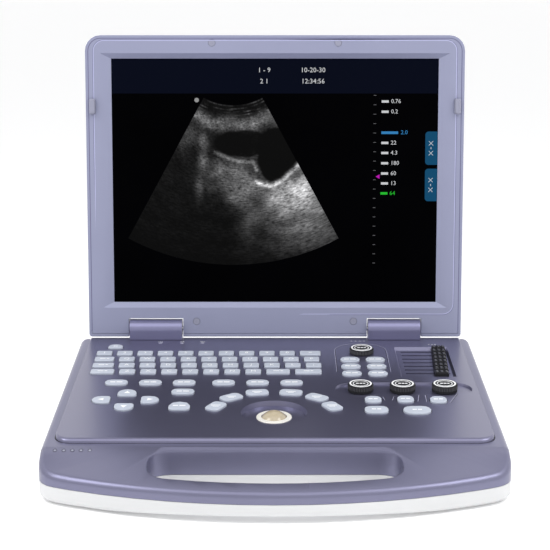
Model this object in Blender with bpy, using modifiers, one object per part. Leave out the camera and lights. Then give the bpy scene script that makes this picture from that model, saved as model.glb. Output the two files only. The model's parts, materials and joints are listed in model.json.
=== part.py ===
"""Laptop-style ultrasound scanner: a wedge base with a control deck, and a hinged display lid.

All sizes are in millimetres and are scaled to metres where a mesh is made.  The base is drawn from
the rear edge of the deck: X to the right, Y to the back, Z up from the deck's rear edge.  The deck
and everything on it is drawn in the deck's own frame, tilted by DECK_SLOPE, where H is the height
above the deck's face.  The lid is drawn in its own frame, whose origin is the hinge axis.
"""
import math

import bmesh
import bpy
from mathutils import Matrix, Vector

MM = 0.001
GAP = 0.3  # between pieces that touch

# display and lid
LCD_W = 304.1  # active area of a 15 inch 4:3 panel
LCD_H = 228.1
LCD_FRAME = 3.0
LCD_T = 6.0
BEZEL_SIDE = 23.9  # from the active area to the lid's side
BEZEL_TOP = 21.5
BEZEL_CHIN = 32.8
BEZEL_SLOPE_W = 10.0  # sloped border of the opening, at the sides
BEZEL_SLOPE_H = 5.0  # and at the top and bottom
BEZEL_T = 3.9
LID_T = 19.0
LID_WALL = 2.6
LID_CORNER = 14.5
LID_FOOT_CORNER = 3.0
LID_EDGE_R = 5.0
LID_LEAN = 4.33  # degrees behind the vertical, in the working position
SCREW_CAP_D = 6.5
BUMPER = (6.0, 14.6, 5.0)
BUMPER_DROP = 65.5  # centre below the lid's top

# hinge
HINGE_R = 9.0
HINGE_AXIS_H = 8.8  # above the deck
HINGE_X = 112.6
HINGE_W = 49.4
HINGE_SIDE_GAP = 1.0
HINGE_GAP = 1.1  # round the cover
LID_BELOW_AXIS = 7.4
LID_FACE_AHEAD = 3.0  # bezel face in front of the axis
PIN_D = 4.0
PIN_FIT = 0.4

# base
DECK_SLOPE = 4.0
PANEL_MARGIN = 1.0  # the deck is this much narrower than the lid, each side
PANEL_SHORT = 24.4  # and this much shorter than the lid
PANEL_T = 2.6
PANEL_SKIRT = 6.2
PANEL_ROLL = 3.8  # rolled front edge
PANEL_SIDE_EDGE = 0.8
PANEL_CORNER = 13.0
PANEL_REAR = 1.0
RAIL_W = 9.6
RAIL_DROP = 3.5  # rail face below the deck
RAIL_EDGE_R = 3.0
FLARE = -0.5  # the handle is this much wider than the rails, each side
CREASE = 6.7  # from the deck's front edge to where the handle starts
HANDLE_REACH = 71.5  # from there to the front
HANDLE_FRONT_H = 9.2  # handle's front above the parting line
HANDLE_EDGE_R = 4.5
FRONT_BOW = 46.0  # how far the front edge bows out
FRONT_CORNER = 25.0
SLOT_BACK = 3.5  # handle slot behind the crease
SLOT_BAR = 17.5  # width of the grip
SLOT_W = 196.0
SLOT_CORNER = 17.0
SLOT_RIM_R = 3.0
REAR_Y = 10.0
REAR_CORNER = 8.0
SHELF_Z = -10.0  # rear shelf under the lid's back edge
SEAT_LIP = 2.6
WALL = 2.5
PART_Z = -44.0  # parting line below the deck's rear edge
CASE_H = 13.0
CASE_EDGE_R = 4.0
GRIP_ARCH = 4.5  # rise of the grip's underside at the middle
FOOT_D = 18.0
FOOT_H = 2.0

# keys
KEY_W = 14.2
KEY_D = 11.3
KEY_GAP = 4.45
KEY_ROW_GAP = 5.55
KEY_H = 1.5
KEY_FIT = 0.45  # clearance round a key in the deck
ALPHA_LEFT = 11.2  # from the deck's left edge
ALPHA_REAR = 44.3  # from the deck's rear line
PILL = (19.9, 13.0)
MAT_T = 1.2
KEY_RING_D = 101.0  # circle that the keys round the trackball follow

# rotary controls
KNOB_D = 22.0
KNOB_H = 5.0
SHAFT_D = 6.0
WELL_DEPTH = 1.8
WELL_ROOM = 4.4  # round the knobs, at the well's floor
WELL_ENDS = (5.6, 7.6)  # more room at its left and right ends
BALL_D = 25.0
BALL_X = -0.8
BALL_L = 199.0
BALL_SHOW_D = 20.0
RING_D = 29.6
RING_T = 1.6
DISH_D = 55.0
DISH_DEPTH = 4.4
DISH_DRAFT = 1.2  # the dish is this much narrower at its floor, each side
RING_PROUD = 0.8  # ring above the dish's floor

# gain sliders
SLIDERS = 8
SLIDER_PITCH = 9.9
SLIDER = (12.6, 7.6)
SLIDER_H = 3.0
TRAY_W = 49.2
TRAY_RIGHT = 14.9  # from the deck's right edge
TRAY_REAR = 29.6
TRAY_DEPTH = 3.0
TRAY_SLOPE = 1.8
SLIDER_STEM = 1.4
SLIDER_FIT = 0.5

# inside and sockets
SOCKET = (56.0, 22.0, 20.0)
SOCKET_Y = (-62.0, -128.0)
SOCKET_Z = -29.5
CAVITY = (44.0, 12.0, 14.0)
PORTS = (84.0, 18.0, 6.0)
PORTS_Y = -84.0
PORTS_Z = -29.5
FAN = (40.0, 10.0)
FAN_X = 110.0
FAN_Z = -34.0
BOARD_T = 1.6
BOARD_H = -9.0

# sizes that follow
LID_W = LCD_W + 2 * BEZEL_SIDE
LID_H = LCD_H + BEZEL_TOP + BEZEL_CHIN
LID_TOP = LID_H - LID_BELOW_AXIS
LCD_LOW = BEZEL_CHIN - LID_BELOW_AXIS
LCD_MID = LCD_LOW + LCD_H / 2
LCD_FACE = BEZEL_T - LID_FACE_AHEAD + GAP
NOTCH_W = HINGE_W + 2 * HINGE_SIDE_GAP
NOTCH_TOP = HINGE_R + HINGE_GAP
PANEL_W = LID_W - 2 * PANEL_MARGIN
PANEL_L = LID_H - PANEL_SHORT
LEFT = -PANEL_W / 2
RIGHT = PANEL_W / 2
HALF_W = PANEL_W / 2 + RAIL_W
CREASE_Y = -(PANEL_L + CREASE)
FRONT_Y = CREASE_Y - HANDLE_REACH
FRONT_R = ((HALF_W + FLARE) ** 2 + FRONT_BOW ** 2) / (2 * FRONT_BOW)
SLOPE = math.radians(DECK_SLOPE)
CASE_Z = PART_Z - CASE_H
FLOOR_Z = CASE_Z - FOOT_H
ROW_PITCH = KEY_D + KEY_ROW_GAP
FUNCTION_L = ALPHA_REAR + 4 * ROW_PITCH + 17.5

# colours: (red, green, blue), roughness, metallic
SHELL = ((0.27, 0.27, 0.42), 0.42, 0.0)
DECK = ((0.10, 0.10, 0.17), 0.30, 0.0)
LID = ((0.33, 0.34, 0.52), 0.45, 0.0)
HINGE = ((0.16, 0.15, 0.30), 0.35, 0.0)
WHITE = ((0.86, 0.87, 0.88), 0.45, 0.0)
KEY = ((0.53, 0.60, 0.68), 0.55, 0.0)
BLACK = ((0.03, 0.03, 0.035), 0.5, 0.0)
RUBBER = ((0.05, 0.05, 0.05), 0.85, 0.0)
GREY = ((0.30, 0.31, 0.35), 0.6, 0.0)
SCREEN = ((0.005, 0.01, 0.02), 0.12, 0.0)
STEEL = ((0.55, 0.55, 0.56), 0.3, 1.0)
BOARD = ((0.02, 0.16, 0.08), 0.5, 0.0)
CREAM = ((0.66, 0.56, 0.38), 0.25, 0.0)
IVORY = ((0.86, 0.84, 0.79), 0.35, 0.0)


def clear_scene():
    for obj in list(bpy.data.objects):
        bpy.data.objects.remove(obj, do_unlink=True)


def collection(name):
    made = bpy.data.collections.new(name)
    bpy.context.scene.collection.children.link(made)
    return made


def empty(name, parent, place, tilt):
    made = bpy.data.objects.new(name, None)
    made.parent = parent
    made.location = Vector(place) * MM
    made.rotation_euler = (math.radians(tilt), 0, 0)
    PARTS.objects.link(made)
    return made


def material(name, look):
    colour, roughness, metallic = look
    made = bpy.data.materials.new(name)
    made.use_nodes = True
    shader = made.node_tree.nodes["Principled BSDF"]
    shader.inputs["Base Color"].default_value = (*colour, 1)
    shader.inputs["Roughness"].default_value = roughness
    shader.inputs["Metallic"].default_value = metallic
    made.diffuse_color = (*colour, 1)
    return made


def part(name, bm, parent, look, place=(0, 0, 0), turn=0.0):
    """Makes a bmesh an object of the model, with its own material."""
    made = solid(name, bm, parent, place, turn)
    PARTS.objects.link(made)
    made.data.materials.append(material(name, look))
    return made


def cutter(name, bm, parent, place=(0, 0, 0), turn=0.0):
    made = solid(name, bm, parent, place, turn)
    CUTTERS.objects.link(made)
    made.hide_render = True
    made.display_type = "WIRE"
    return made


def solid(name, bm, parent, place, turn):
    mesh = bpy.data.meshes.new(name)
    bmesh.ops.recalc_face_normals(bm, faces=bm.faces)
    bm.to_mesh(mesh)
    bm.free()
    mesh.shade_smooth()
    mesh.set_sharp_from_angle(angle=math.radians(30))
    made = bpy.data.objects.new(name, mesh)
    made.parent = parent
    made.location = Vector(place) * MM
    made.rotation_euler = (0, 0, math.radians(turn))
    return made


def boolean(obj, other, operation="DIFFERENCE"):
    made = obj.modifiers.new(operation.lower(), "BOOLEAN")
    made.operation = operation
    made.object = other
    made.solver = "EXACT"


def bevel(obj, width, segments=2, angle=40):
    made = obj.modifiers.new("edge", "BEVEL")
    made.width = width * MM
    made.segments = segments
    made.limit_method = "ANGLE"
    made.angle_limit = math.radians(angle)


def rounded(corners, segments=3):
    """An outline from (x, y, radius) corners, each corner turned into an arc."""
    outline = []
    count = len(corners)
    for i, (x, y, radius) in enumerate(corners):
        here = Vector((x, y))
        if radius <= 0:
            outline.append((x, y))
            continue
        back = (Vector(corners[i - 1][:2]) - here).normalized()
        ahead = (Vector(corners[(i + 1) % count][:2]) - here).normalized()
        half = back.angle(ahead) / 2
        reach = radius / math.tan(half)
        centre = here + (back + ahead).normalized() * (radius / math.sin(half))
        start = here + back * reach - centre
        sweep = start.angle_signed(here + ahead * reach - centre)
        for k in range(segments + 1):
            turned = Matrix.Rotation(-sweep * k / segments, 2) @ start
            outline.append(tuple(centre + turned))
    return outline


def box_outline(x0, x1, y0, y1, radius=0.0, segments=3):
    return rounded([(x0, y0, radius), (x1, y0, radius), (x1, y1, radius), (x0, y1, radius)], segments)


def circle(x, y, radius, count):
    steps = [2 * math.pi * i / count for i in range(count)]
    return [(x + radius * math.cos(a), y + radius * math.sin(a)) for a in steps]


def loft(rings, bm=None):
    """Skins closed rings of 3-D points, one on the next, and closes both ends."""
    bm = bm or bmesh.new()
    rows = [[bm.verts.new(Vector(p) * MM) for p in ring] for ring in rings]
    for low, high in zip(rows, rows[1:]):
        for i in range(len(low)):
            j = (i + 1) % len(low)
            bm.faces.new((low[i], low[j], high[j], high[i]))
    bm.faces.new(rows[0][::-1])
    bm.faces.new(rows[-1])
    return bm


def prism(outline, z0, z1, bm=None):
    return loft([[(x, y, z) for x, y in outline] for z in (z0, z1)], bm)


def box(x0, x1, y0, y1, z0, z1, bm=None):
    bm = bm or bmesh.new()
    size = Matrix.Diagonal(((x1 - x0) * MM, (y1 - y0) * MM, (z1 - z0) * MM, 1))
    middle = Matrix.Translation(Vector((x0 + x1, y0 + y1, z0 + z1)) * MM / 2)
    bmesh.ops.create_cube(bm, size=1.0, matrix=middle @ size)
    return bm


def drum(x, y, z0, z1, radius, count=24, bm=None, top_radius=None):
    bm = bm or bmesh.new()
    bmesh.ops.create_cone(
        bm, cap_ends=True, segments=count, radius1=radius * MM,
        radius2=(radius if top_radius is None else top_radius) * MM, depth=(z1 - z0) * MM,
        matrix=Matrix.Translation(Vector((x, y, (z0 + z1) / 2)) * MM))
    return bm


def turned(name, profile, parent, look, place, steps=24):
    """A turned piece: the profile runs down the outer side, from the top to the bottom."""
    bm = bmesh.new()
    points = [bm.verts.new(Vector((r, 0, z)) * MM) for r, z in profile]
    for a, b in zip(points, points[1:]):
        bm.edges.new((a, b))
    if profile[0][0] > 0:
        bm.edges.new((points[-1], points[0]))
    mesh = bpy.data.meshes.new(name)
    bm.to_mesh(mesh)
    bm.free()
    made = bpy.data.objects.new(name, mesh)
    made.parent = parent
    made.location = Vector(place) * MM
    PARTS.objects.link(made)
    made.data.materials.append(material(name, look))
    screw = made.modifiers.new("turn", "SCREW")
    screw.steps = steps
    screw.render_steps = steps
    screw.use_merge_vertices = True
    screw.merge_threshold = 0.00001
    return made


# base: plan outline, top surface

def front_arc(x, inset=0.0):
    radius = FRONT_R - inset
    return FRONT_Y + FRONT_R - math.sqrt(radius * radius - min(abs(x), 0.9 * radius) ** 2)


def plan(inset=0.0):
    """The base's outline seen from above, anticlockwise from the rear right corner."""
    wide = HALF_W + FLARE - inset
    side = HALF_W - inset
    rear = REAR_Y - inset
    low = front_arc(wide, inset)
    xs = [wide * (1 - i / 7.0) for i in range(1, 14)]
    corners = [(side, rear, REAR_CORNER - inset), (-side, rear, REAR_CORNER - inset)]
    corners += [(-side, CREASE_Y / 2, 0), (-wide, CREASE_Y, 0), (-wide, low, FRONT_CORNER - inset)]
    corners += [(-x, front_arc(x, inset), 0) for x in xs]
    corners += [(wide, low, FRONT_CORNER - inset), (wide, CREASE_Y, 0), (side, CREASE_Y / 2, 0)]
    return rounded(corners, 4)


def top_z(x, y):
    """Height of the frame's top: parallel to the deck, then falling along the handle."""
    ledge = -RAIL_DROP / math.cos(SLOPE)
    if y >= CREASE_Y:
        return ledge + y * math.tan(SLOPE)
    start = ledge + CREASE_Y * math.tan(SLOPE)
    along = (CREASE_Y - y) / (CREASE_Y - front_arc(x))
    return start + (PART_Z + HANDLE_FRONT_H - start) * min(along, 1.0)


def edge_rings(radius, steps):
    """(inset, drop) pairs that round an edge, from the side to the top."""
    turns = [math.pi / 2 * k / steps for k in range(steps + 1)]
    return [(radius * (1 - math.cos(a)), radius * (1 - math.sin(a))) for a in turns]


def frame_solid():
    """The frame's outer form, with its rounded top edge and its two-part top."""
    rings = [[(x, y, PART_Z + GAP) for x, y in plan()]]
    for inset, drop in edge_rings(HANDLE_EDGE_R, 3):
        rings.append([(x, y, top_z(x, y) - drop) for x, y in plan(inset)])
    bm = bmesh.new()
    rows = [[bm.verts.new(Vector(p) * MM) for p in ring] for ring in rings]
    count = len(rows[0])
    for low, high in zip(rows, rows[1:]):
        for i in range(count):
            j = (i + 1) % count
            bm.faces.new((low[i], low[j], high[j], high[i]))
    bm.faces.new(rows[0][::-1])
    top = rows[-1]
    first = next(i for i, v in enumerate(top) if abs(v.co.y - CREASE_Y * MM) < 1e-6)
    last = max(i for i, v in enumerate(top) if abs(v.co.y - CREASE_Y * MM) < 1e-6)
    front = top[first:last + 1]
    x0, x1, z = front[0].co.x, front[-1].co.x, front[0].co.z
    steps = len(front) - 1
    crease = [front[0]]
    for i in range(1, steps):
        x = x0 + (x1 - x0) * i / steps
        crease.append(bm.verts.new((x, CREASE_Y * MM, z)))
    crease.append(front[-1])
    bm.faces.new((front[0], front[1], crease[1]))
    for i in range(1, steps - 1):
        bm.faces.new((front[i], front[i + 1], crease[i + 1], crease[i]))
    bm.faces.new((front[-2], front[-1], crease[-2]))
    bm.faces.new(top[last:] + top[:first + 1] + crease[1:-1])
    bmesh.ops.triangulate(bm, faces=[f for f in bm.faces if len(f.verts) > 4])
    return bm


def slot_outline(grow=0.0):
    """The hand slot: straight at the back, parallel to the front edge ahead."""
    half = SLOT_W / 2 + grow
    back = CREASE_Y - SLOT_BACK + grow
    inset = SLOT_BAR - grow
    xs = [half * (1 - i / 5.0) for i in range(1, 10)]
    corners = [(half, back, SLOT_CORNER + grow), (-half, back, SLOT_CORNER + grow)]
    corners += [(-half, front_arc(half, inset), SLOT_CORNER + grow)]
    corners += [(-x, front_arc(x, inset), 0) for x in xs]
    corners += [(half, front_arc(half, inset), SLOT_CORNER + grow)]
    return rounded(corners, 5)


def slot_cutter(name, parent):
    rings = [[(x, y, CASE_Z - 5) for x, y in slot_outline()]]
    for inset, drop in edge_rings(SLOT_RIM_R, 2):
        rings.append([(x, y, top_z(x, y) - drop) for x, y in slot_outline(inset)])
    rings.append([(x, y, 10.0) for x, y in slot_outline(SLOT_RIM_R)])
    return cutter(name, loft(rings), parent)


def make_frame(base, deck):
    frame = part("top_frame", frame_solid(), base, SHELL)
    half = PANEL_W / 2 + GAP
    opening = box_outline(-half, half, -PANEL_L - GAP, -PANEL_REAR + GAP, 0.0)
    opening = rounded([(x, y, PANEL_CORNER + GAP if y < -9 else 0) for x, y in opening], 4)
    boolean(frame, cutter("cut_seat", prism(opening, -PANEL_SKIRT - GAP, 20), deck))
    inner = PANEL_W / 2 - SEAT_LIP
    room = box_outline(-inner, inner, -PANEL_L + SEAT_LIP, -PANEL_REAR - 1.0, 8.0, 2)
    boolean(frame, cutter("cut_room", prism(room, PART_Z - 30, -PANEL_SKIRT + 3), deck))
    back = box(-inner + 6, inner - 6, -6, REAR_Y - WALL, PART_Z - 6, SHELF_Z - WALL)
    boolean(frame, cutter("cut_back_room", back, base))
    shelf = LID_W / 2 + 0.6
    rear = box(-shelf, shelf, -PANEL_REAR + 2.3, REAR_Y + 6, SHELF_Z, 20)
    boolean(frame, cutter("cut_shelf", rear, base))
    boolean(frame, slot_cutter("cut_slot", base))
    wall = HALF_W + FLARE + 4
    sockets = bmesh.new()
    for y in SOCKET_Y:
        hole = (y - SOCKET[0] / 2 - GAP, y + SOCKET[0] / 2 + GAP)
        high = (SOCKET_Z - SOCKET[1] / 2 - GAP, SOCKET_Z + SOCKET[1] / 2 + GAP)
        box(HALF_W - 14, wall, *hole, *high, sockets)
    boolean(frame, cutter("cut_sockets", sockets, base))
    ports = (PORTS_Y - PORTS[0] / 2 - GAP, PORTS_Y + PORTS[0] / 2 + GAP)
    high = (PORTS_Z - PORTS[1] / 2 - GAP, PORTS_Z + PORTS[1] / 2 + GAP)
    boolean(frame, cutter("cut_ports", box(-wall, -HALF_W + 14, *ports, *high), base))
    vents = bmesh.new()
    for i in range(7):
        x = FAN_X + (i - 3) * 4.8
        box(x - 1.1, x + 1.1, REAR_Y - WALL - 2, REAR_Y + 3, FAN_Z - 8, FAN_Z + 14, vents)
    boolean(frame, cutter("cut_vents", vents, base))


def make_case(base):
    """The pale lower case: a tray with a rounded lower edge, arched under the grip."""
    rings = []
    for inset, drop in edge_rings(CASE_EDGE_R, 3)[::-1]:
        rings.append([(x, y, CASE_Z + drop) for x, y in plan(inset)])
    rings.append([(x, y, PART_Z) for x, y in plan()])
    case = part("bottom_case", loft(rings), base, WHITE)
    inner = HALF_W - 8
    room = box_outline(-inner, inner, CREASE_Y + 7, REAR_Y - WALL, 6.0, 2)
    boolean(case, cutter("cut_case_room", prism(room, CASE_Z + WALL, PART_Z + 5), base))
    boolean(case, bpy.data.objects["cut_slot"])
    half = SLOT_W / 2 + 40
    radius = (half * half + GRIP_ARCH * GRIP_ARCH) / (2 * GRIP_ARCH)
    arch = bmesh.new()
    xs = [half * (1 - i / 6.0) for i in range(13)]
    line = [(x, CASE_Z + math.sqrt(radius * radius - x * x) - radius + GRIP_ARCH) for x in xs]
    right = [(half + 9, CASE_Z - 9), (half, CASE_Z - 1)]
    line = right + line[1:-1] + [(-x, z) for x, z in right[::-1]]
    loft([[(x, y, z) for x, z in line] for y in (FRONT_Y - 9, CREASE_Y + 2)], arch)
    boolean(case, cutter("cut_arch", arch, base))
    feet = bmesh.new()
    for x, y in foot_places():
        drum(x, y, CASE_Z - 3, CASE_Z + 0.8, FOOT_D / 2 + GAP, 20, feet)
    boolean(case, cutter("cut_feet", feet, base))
    for i, (x, y) in enumerate(foot_places()):
        r = FOOT_D / 2
        profile = [(0, 0.5), (r, 0.5), (r, 0.6 - FOOT_H), (r - 0.6, -FOOT_H), (0, -FOOT_H)]
        turned("foot_%d" % (i + 1), profile, base, RUBBER, (x, y, CASE_Z), 20)


def foot_places():
    x = HALF_W - 26
    return [(-x, REAR_Y - 24), (x, REAR_Y - 24), (-x, CREASE_Y + 16), (x, CREASE_Y + 16)]


# keys and controls on the deck

def alpha_rows():
    """Each row's keys as (x of the left side, width), from the left."""
    rows = ([KEY_W] * 10 + [KEY_W + 5.0], [KEY_W + 3.4] + [KEY_W] * 10,
            [KEY_W + 4.8] + [KEY_W] * 10, [KEY_W + 6.8] + [KEY_W] * 7 + [KEY_W + 6.9, KEY_W + 9.5])
    placed = []
    for row, widths in enumerate(rows):
        x = LEFT + ALPHA_LEFT
        for width in widths:
            placed.append((x + width / 2, ALPHA_REAR + KEY_D / 2 + row * ROW_PITCH, width))
            x += width + KEY_GAP
    return placed


def mat_keys():
    """Caps moulded in one with the mat: (x, L, width, depth, front radius, back radius)."""
    keys = [(LEFT + x, FUNCTION_L, *PILL, 5.0, 5.0) for x in (37.1, 66.6, 96.0, 130.3, 159.8, 189.4)]
    keys.append((LEFT + 96.2, FUNCTION_L + 23.0, *PILL, 5.0, 5.0))
    keys.append((LEFT + 95.2, FUNCTION_L + 57.5, 18.1, 18.4, 4.0, 8.9))
    for row in range(3):
        for x in (RIGHT - 106.9, RIGHT - 83.9):
            keys.append((x, 68.1 + row * 18.6, 17.6, 13.6, 5.5, 5.5))
    return keys


def free_keys():
    """Keys that move on their own: name, x, L, width, depth, front radius, back radius, turn."""
    keys = [("power_button", LEFT + 26.7, 30.8, 13.8, 10.4, 2.5, 6.0, 0)]
    x, length = LEFT + 48.9, 172.0
    keys.append(("arrow_up", x, length - 17.0, 16.3, 15.6, 3.0, 8.0, 0))
    keys.append(("arrow_down", x, length + 17.0, 16.3, 15.6, 3.0, 8.0, 180))
    keys.append(("arrow_left", x - 20.7, length, 16.3, 15.6, 3.0, 8.0, 90))
    keys.append(("arrow_right", x + 20.7, length, 16.3, 15.6, 3.0, 8.0, -90))
    for i, (angle, turn) in enumerate(((76.0, -62), (47.3, -36), (17.7, -7))):
        for side in (-1, 1):
            a, radius = math.radians(angle), KEY_RING_D / 2 - (0.5, 1.2, 3.1)[i]
            spot = (BALL_X + side * radius * math.sin(a), BALL_L - radius * math.cos(a))
            name = "arc_key_%d" % (i + 1 if side < 0 else 6 - i)
            keys.append((name, *spot, PILL[0], PILL[1] + 0.4, 4.5, 4.5, side * turn))
    for i, (dx, length) in enumerate(((-92.2, 171.2), (-64.8, 170.4), (-37.2, 171.8))):
        keys.append(("aux_key_%d" % (i + 1), RIGHT + dx, length, 14.2, 15.2, 5.0, 5.5, 0))
    keys.append(("aux_key_4", RIGHT - 90.8, 195.4, 19.8, 15.6, 6.0, 5.5, 0))
    keys.append(("aux_key_5", RIGHT - 57.2, 196.4, 23.4, 17.6, 8.5, 7.5, 0))
    return keys


def cap_outline(width, depth, front, back, grow=0.0, segments=3):
    w, d = width / 2 + grow, depth / 2 + grow
    f, b = front + grow, back + grow
    return rounded([(-w, -d, f), (w, -d, f), (w, d, b), (-w, d, b)], segments)


def knobs():
    x, length = RIGHT - 95.2, 46.1
    return [("knob_menu", x, length), ("knob_1", RIGHT - 101.3, 142.6),
            ("knob_2", RIGHT - 65.1, 142.6), ("knob_3", RIGHT - 28.9, 142.6)]


def slider_places():
    """Slots from the rear to the front; each slider rests a little further left."""
    first = TRAY_REAR + TRAY_SLOPE + SLIDER_PITCH / 2 - 0.4
    right = RIGHT - TRAY_RIGHT - TRAY_SLOPE - SLIDER[0] / 2 - SLIDER_FIT
    return [(right - 0.55 * i, first + SLIDER_PITCH * i) for i in range(SLIDERS)]


def tray_box():
    right = RIGHT - TRAY_RIGHT
    return right - TRAY_W, right, TRAY_REAR, TRAY_REAR + SLIDERS * SLIDER_PITCH + 2 * TRAY_SLOPE - 0.8


def stepped_ring(sizes):
    """Rings of one rounded rectangle: (x0, x1, y0, y1, front radius, rear radius, z)."""
    rings = []
    for x0, x1, y0, y1, front, rear, z in sizes:
        outline = rounded([(x0, y0, front), (x1, y0, front), (x1, y1, rear), (x0, y1, rear)], 4)
        rings.append([(x, y, z) for x, y in outline])
    return rings


def make_panel(deck):
    rings = []
    for k in range(4):
        a = math.pi / 2 * k / 3
        roll, drop = PANEL_ROLL * (1 - math.cos(a)), 1 - math.sin(a)
        side = PANEL_SIDE_EDGE * (1 - math.cos(a))
        half = PANEL_W / 2 - side
        ends = (-half, half, -PANEL_L + roll, -PANEL_REAR - side)
        rings.append((*ends, PANEL_CORNER - side, 1.5, -PANEL_ROLL * drop))
    low = (-PANEL_W / 2, PANEL_W / 2, -PANEL_L, -PANEL_REAR, PANEL_CORNER, 1.5, -PANEL_SKIRT)
    panel = part("control_panel", loft(stepped_ring([low] + rings)), deck, DECK)
    boolean(panel, make_pocket(deck))
    boolean(panel, cutter("cut_dish", dish_solid(), deck))
    boolean(panel, cutter("cut_well", well_solid(), deck))
    boolean(panel, cutter("cut_tray", tray_solid(), deck))
    holes = prism(circle(BALL_X, -BALL_L, RING_D / 2 + GAP, 32), -20, 5)
    for x, length, width in alpha_rows():
        outline = cap_outline(width, KEY_D, 1.5, 1.5, KEY_FIT, 1)
        prism([(x + u, v - length) for u, v in outline], -20, 5, holes)
    for x, length, width, depth, front, back in mat_keys():
        outline = cap_outline(width, depth, front, back, KEY_FIT, 2)
        prism([(x + u, v - length) for u, v in outline], -20, 5, holes)
    for _, x, length in knobs():
        drum(x, -length, -20, 5, SHAFT_D / 2 + 0.5, 12, holes)
    for x, length in slider_places():
        left, right = tray_box()[0] + TRAY_SLOPE + 4.0, tray_box()[1] - TRAY_SLOPE - 2.0
        box(left, right, -length - SLIDER_STEM / 2 - 0.4, -length + SLIDER_STEM / 2 + 0.4, -20, 5, holes)
    for _, x, length, width, depth, front, back, turn in free_keys():
        spin = Matrix.Rotation(math.radians(turn), 2)
        spots = [spin @ Vector(p) for p in cap_outline(width, depth, front, back, KEY_FIT, 3)]
        prism([(x + p.x, p.y - length) for p in spots], -20, 5, holes)
    boolean(panel, cutter("cut_holes", holes, deck))


def make_pocket(deck):
    """The hollow under the deck, which leaves the metal of the dish, the well and the tray."""
    half = PANEL_W / 2 - 2.4
    outline = box_outline(-half, half, -PANEL_L + PANEL_ROLL + 1.5, -PANEL_REAR - 2.4, 6.0, 2)
    pocket = cutter("cut_pocket", prism(outline, -PANEL_SKIRT - 4, -PANEL_T), deck)
    x0, x1, y0, y1 = tray_box()
    kept = prism(circle(BALL_X, -BALL_L, DISH_D / 2 + 1.6, 24), -PANEL_SKIRT - 8, 0)
    box(x0 - 2, x1 + 2, -y1 - 2, -y0 + 2, -PANEL_SKIRT - 8, 0, kept)
    boolean(pocket, cutter("keep_pocket", kept, deck))
    return pocket


def dish_solid():
    """Round dish for the trackball, with a steep wall."""
    floor = DISH_D / 2 - DISH_DRAFT
    rim = DISH_D / 2 + DISH_DRAFT / DISH_DEPTH
    return drum(BALL_X, -BALL_L, -DISH_DEPTH, 1.0, floor, 40, None, rim)


def well_solid():
    """Shallow well that the three lower knobs stand in, with round ends."""
    xs = [x for _, x, length in knobs()[1:]]
    length = knobs()[1][2]
    rings = []
    for grow, z in ((0.0, -WELL_DEPTH), (0.8, 0.0), (1.2, 0.9)):
        reach = KNOB_D / 2 + WELL_ROOM + grow
        x0, x1 = min(xs) - WELL_ENDS[0] - reach, max(xs) + WELL_ENDS[1] + reach
        outline = box_outline(x0, x1, -length - reach, -length + reach, reach - 0.1, 6)
        rings.append([(x, y, z) for x, y in outline])
    return loft(rings)


def tray_solid():
    x0, x1, y0, y1 = tray_box()
    rings = []
    for inset, z in ((TRAY_SLOPE, -TRAY_DEPTH), (0.0, 0.0), (-0.6, 1.0)):
        rings.append([(x, y, z) for x, y in box_outline(x0 + inset, x1 - inset, -y1 + inset, -y0 - inset, 0)])
    return loft(rings)


def make_keypad(deck):
    """Silicone mat: the letter, function and menu caps are moulded in one with it."""
    top = -PANEL_T - GAP
    left = LEFT + 8
    alpha = [x + w / 2 for x, _, w in alpha_rows()]
    rear, right = -ALPHA_REAR + 3, max(alpha) + 4
    menu = [k for k in mat_keys() if k[0] > max(alpha)]
    far = max(k[0] + k[2] / 2 for k in menu) + 1.5
    menu_top, menu_low = -menu[0][1] + 9.5, -menu[-1][1] - 9.5
    pads = [k for k in mat_keys() if k[0] < max(alpha)]
    low = -FUNCTION_L - PILL[1] / 2 - 2
    tail = (pads[-1][0] - 11.5, pads[-2][0] + 11.5, -pads[-1][1] - 11.5)
    outline = [(left, low), (tail[0], low), (tail[0], tail[2]), (tail[1], tail[2]), (tail[1], low)]
    outline += [(right, low), (right, menu_low), (far, menu_low), (far, menu_top), (right, menu_top)]
    outline += [(right, rear), (left, rear)]
    mat = part("keypad_mat", prism(outline, top - MAT_T, top), deck, KEY)
    caps = bmesh.new()
    shapes = [(x, length, width, KEY_D, 1.5, 1.5, 1) for x, length, width in alpha_rows()]
    shapes += [(*key, 2) for key in mat_keys()]
    for x, length, width, depth, front, back, segments in shapes:
        rings = []
        for inset, z in ((0.0, top - MAT_T / 2), (0.1, KEY_H - 0.4), (0.6, KEY_H)):
            outline = cap_outline(width, depth, front, back, -inset, segments)
            rings.append([(x + u, v - length, z) for u, v in outline])
        loft(rings, caps)
    boolean(mat, cutter("join_caps", caps, deck), "UNION")


def make_free_keys(deck):
    for name, x, length, width, depth, front, back, turn in free_keys():
        rings = []
        for inset, z in ((0.0, -PANEL_T - 1.2), (0.1, KEY_H - 0.4), (0.7, KEY_H)):
            outline = cap_outline(width, depth, front, back, -inset, 3)
            rings.append([(u, v, z) for u, v in outline])
        part(name, loft(rings), deck, KEY, (x, -length, 0), turn)


def make_knobs(deck):
    radius = KNOB_D / 2
    for name, x, length in knobs():
        low = 0.5 if length < 100 else 0.5 - WELL_DEPTH
        tail = -PANEL_T - 3
        profile = [(0, KNOB_H - 0.4), (radius - 3.4, KNOB_H - 0.4), (radius - 3.0, KNOB_H)]
        profile += [(radius - 0.8, KNOB_H), (radius, KNOB_H - 0.8), (radius, low)]
        profile += [(SHAFT_D / 2, low), (SHAFT_D / 2, tail), (0, tail)]
        turned(name, profile, deck, BLACK, (x, -length, 0), 24)


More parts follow.
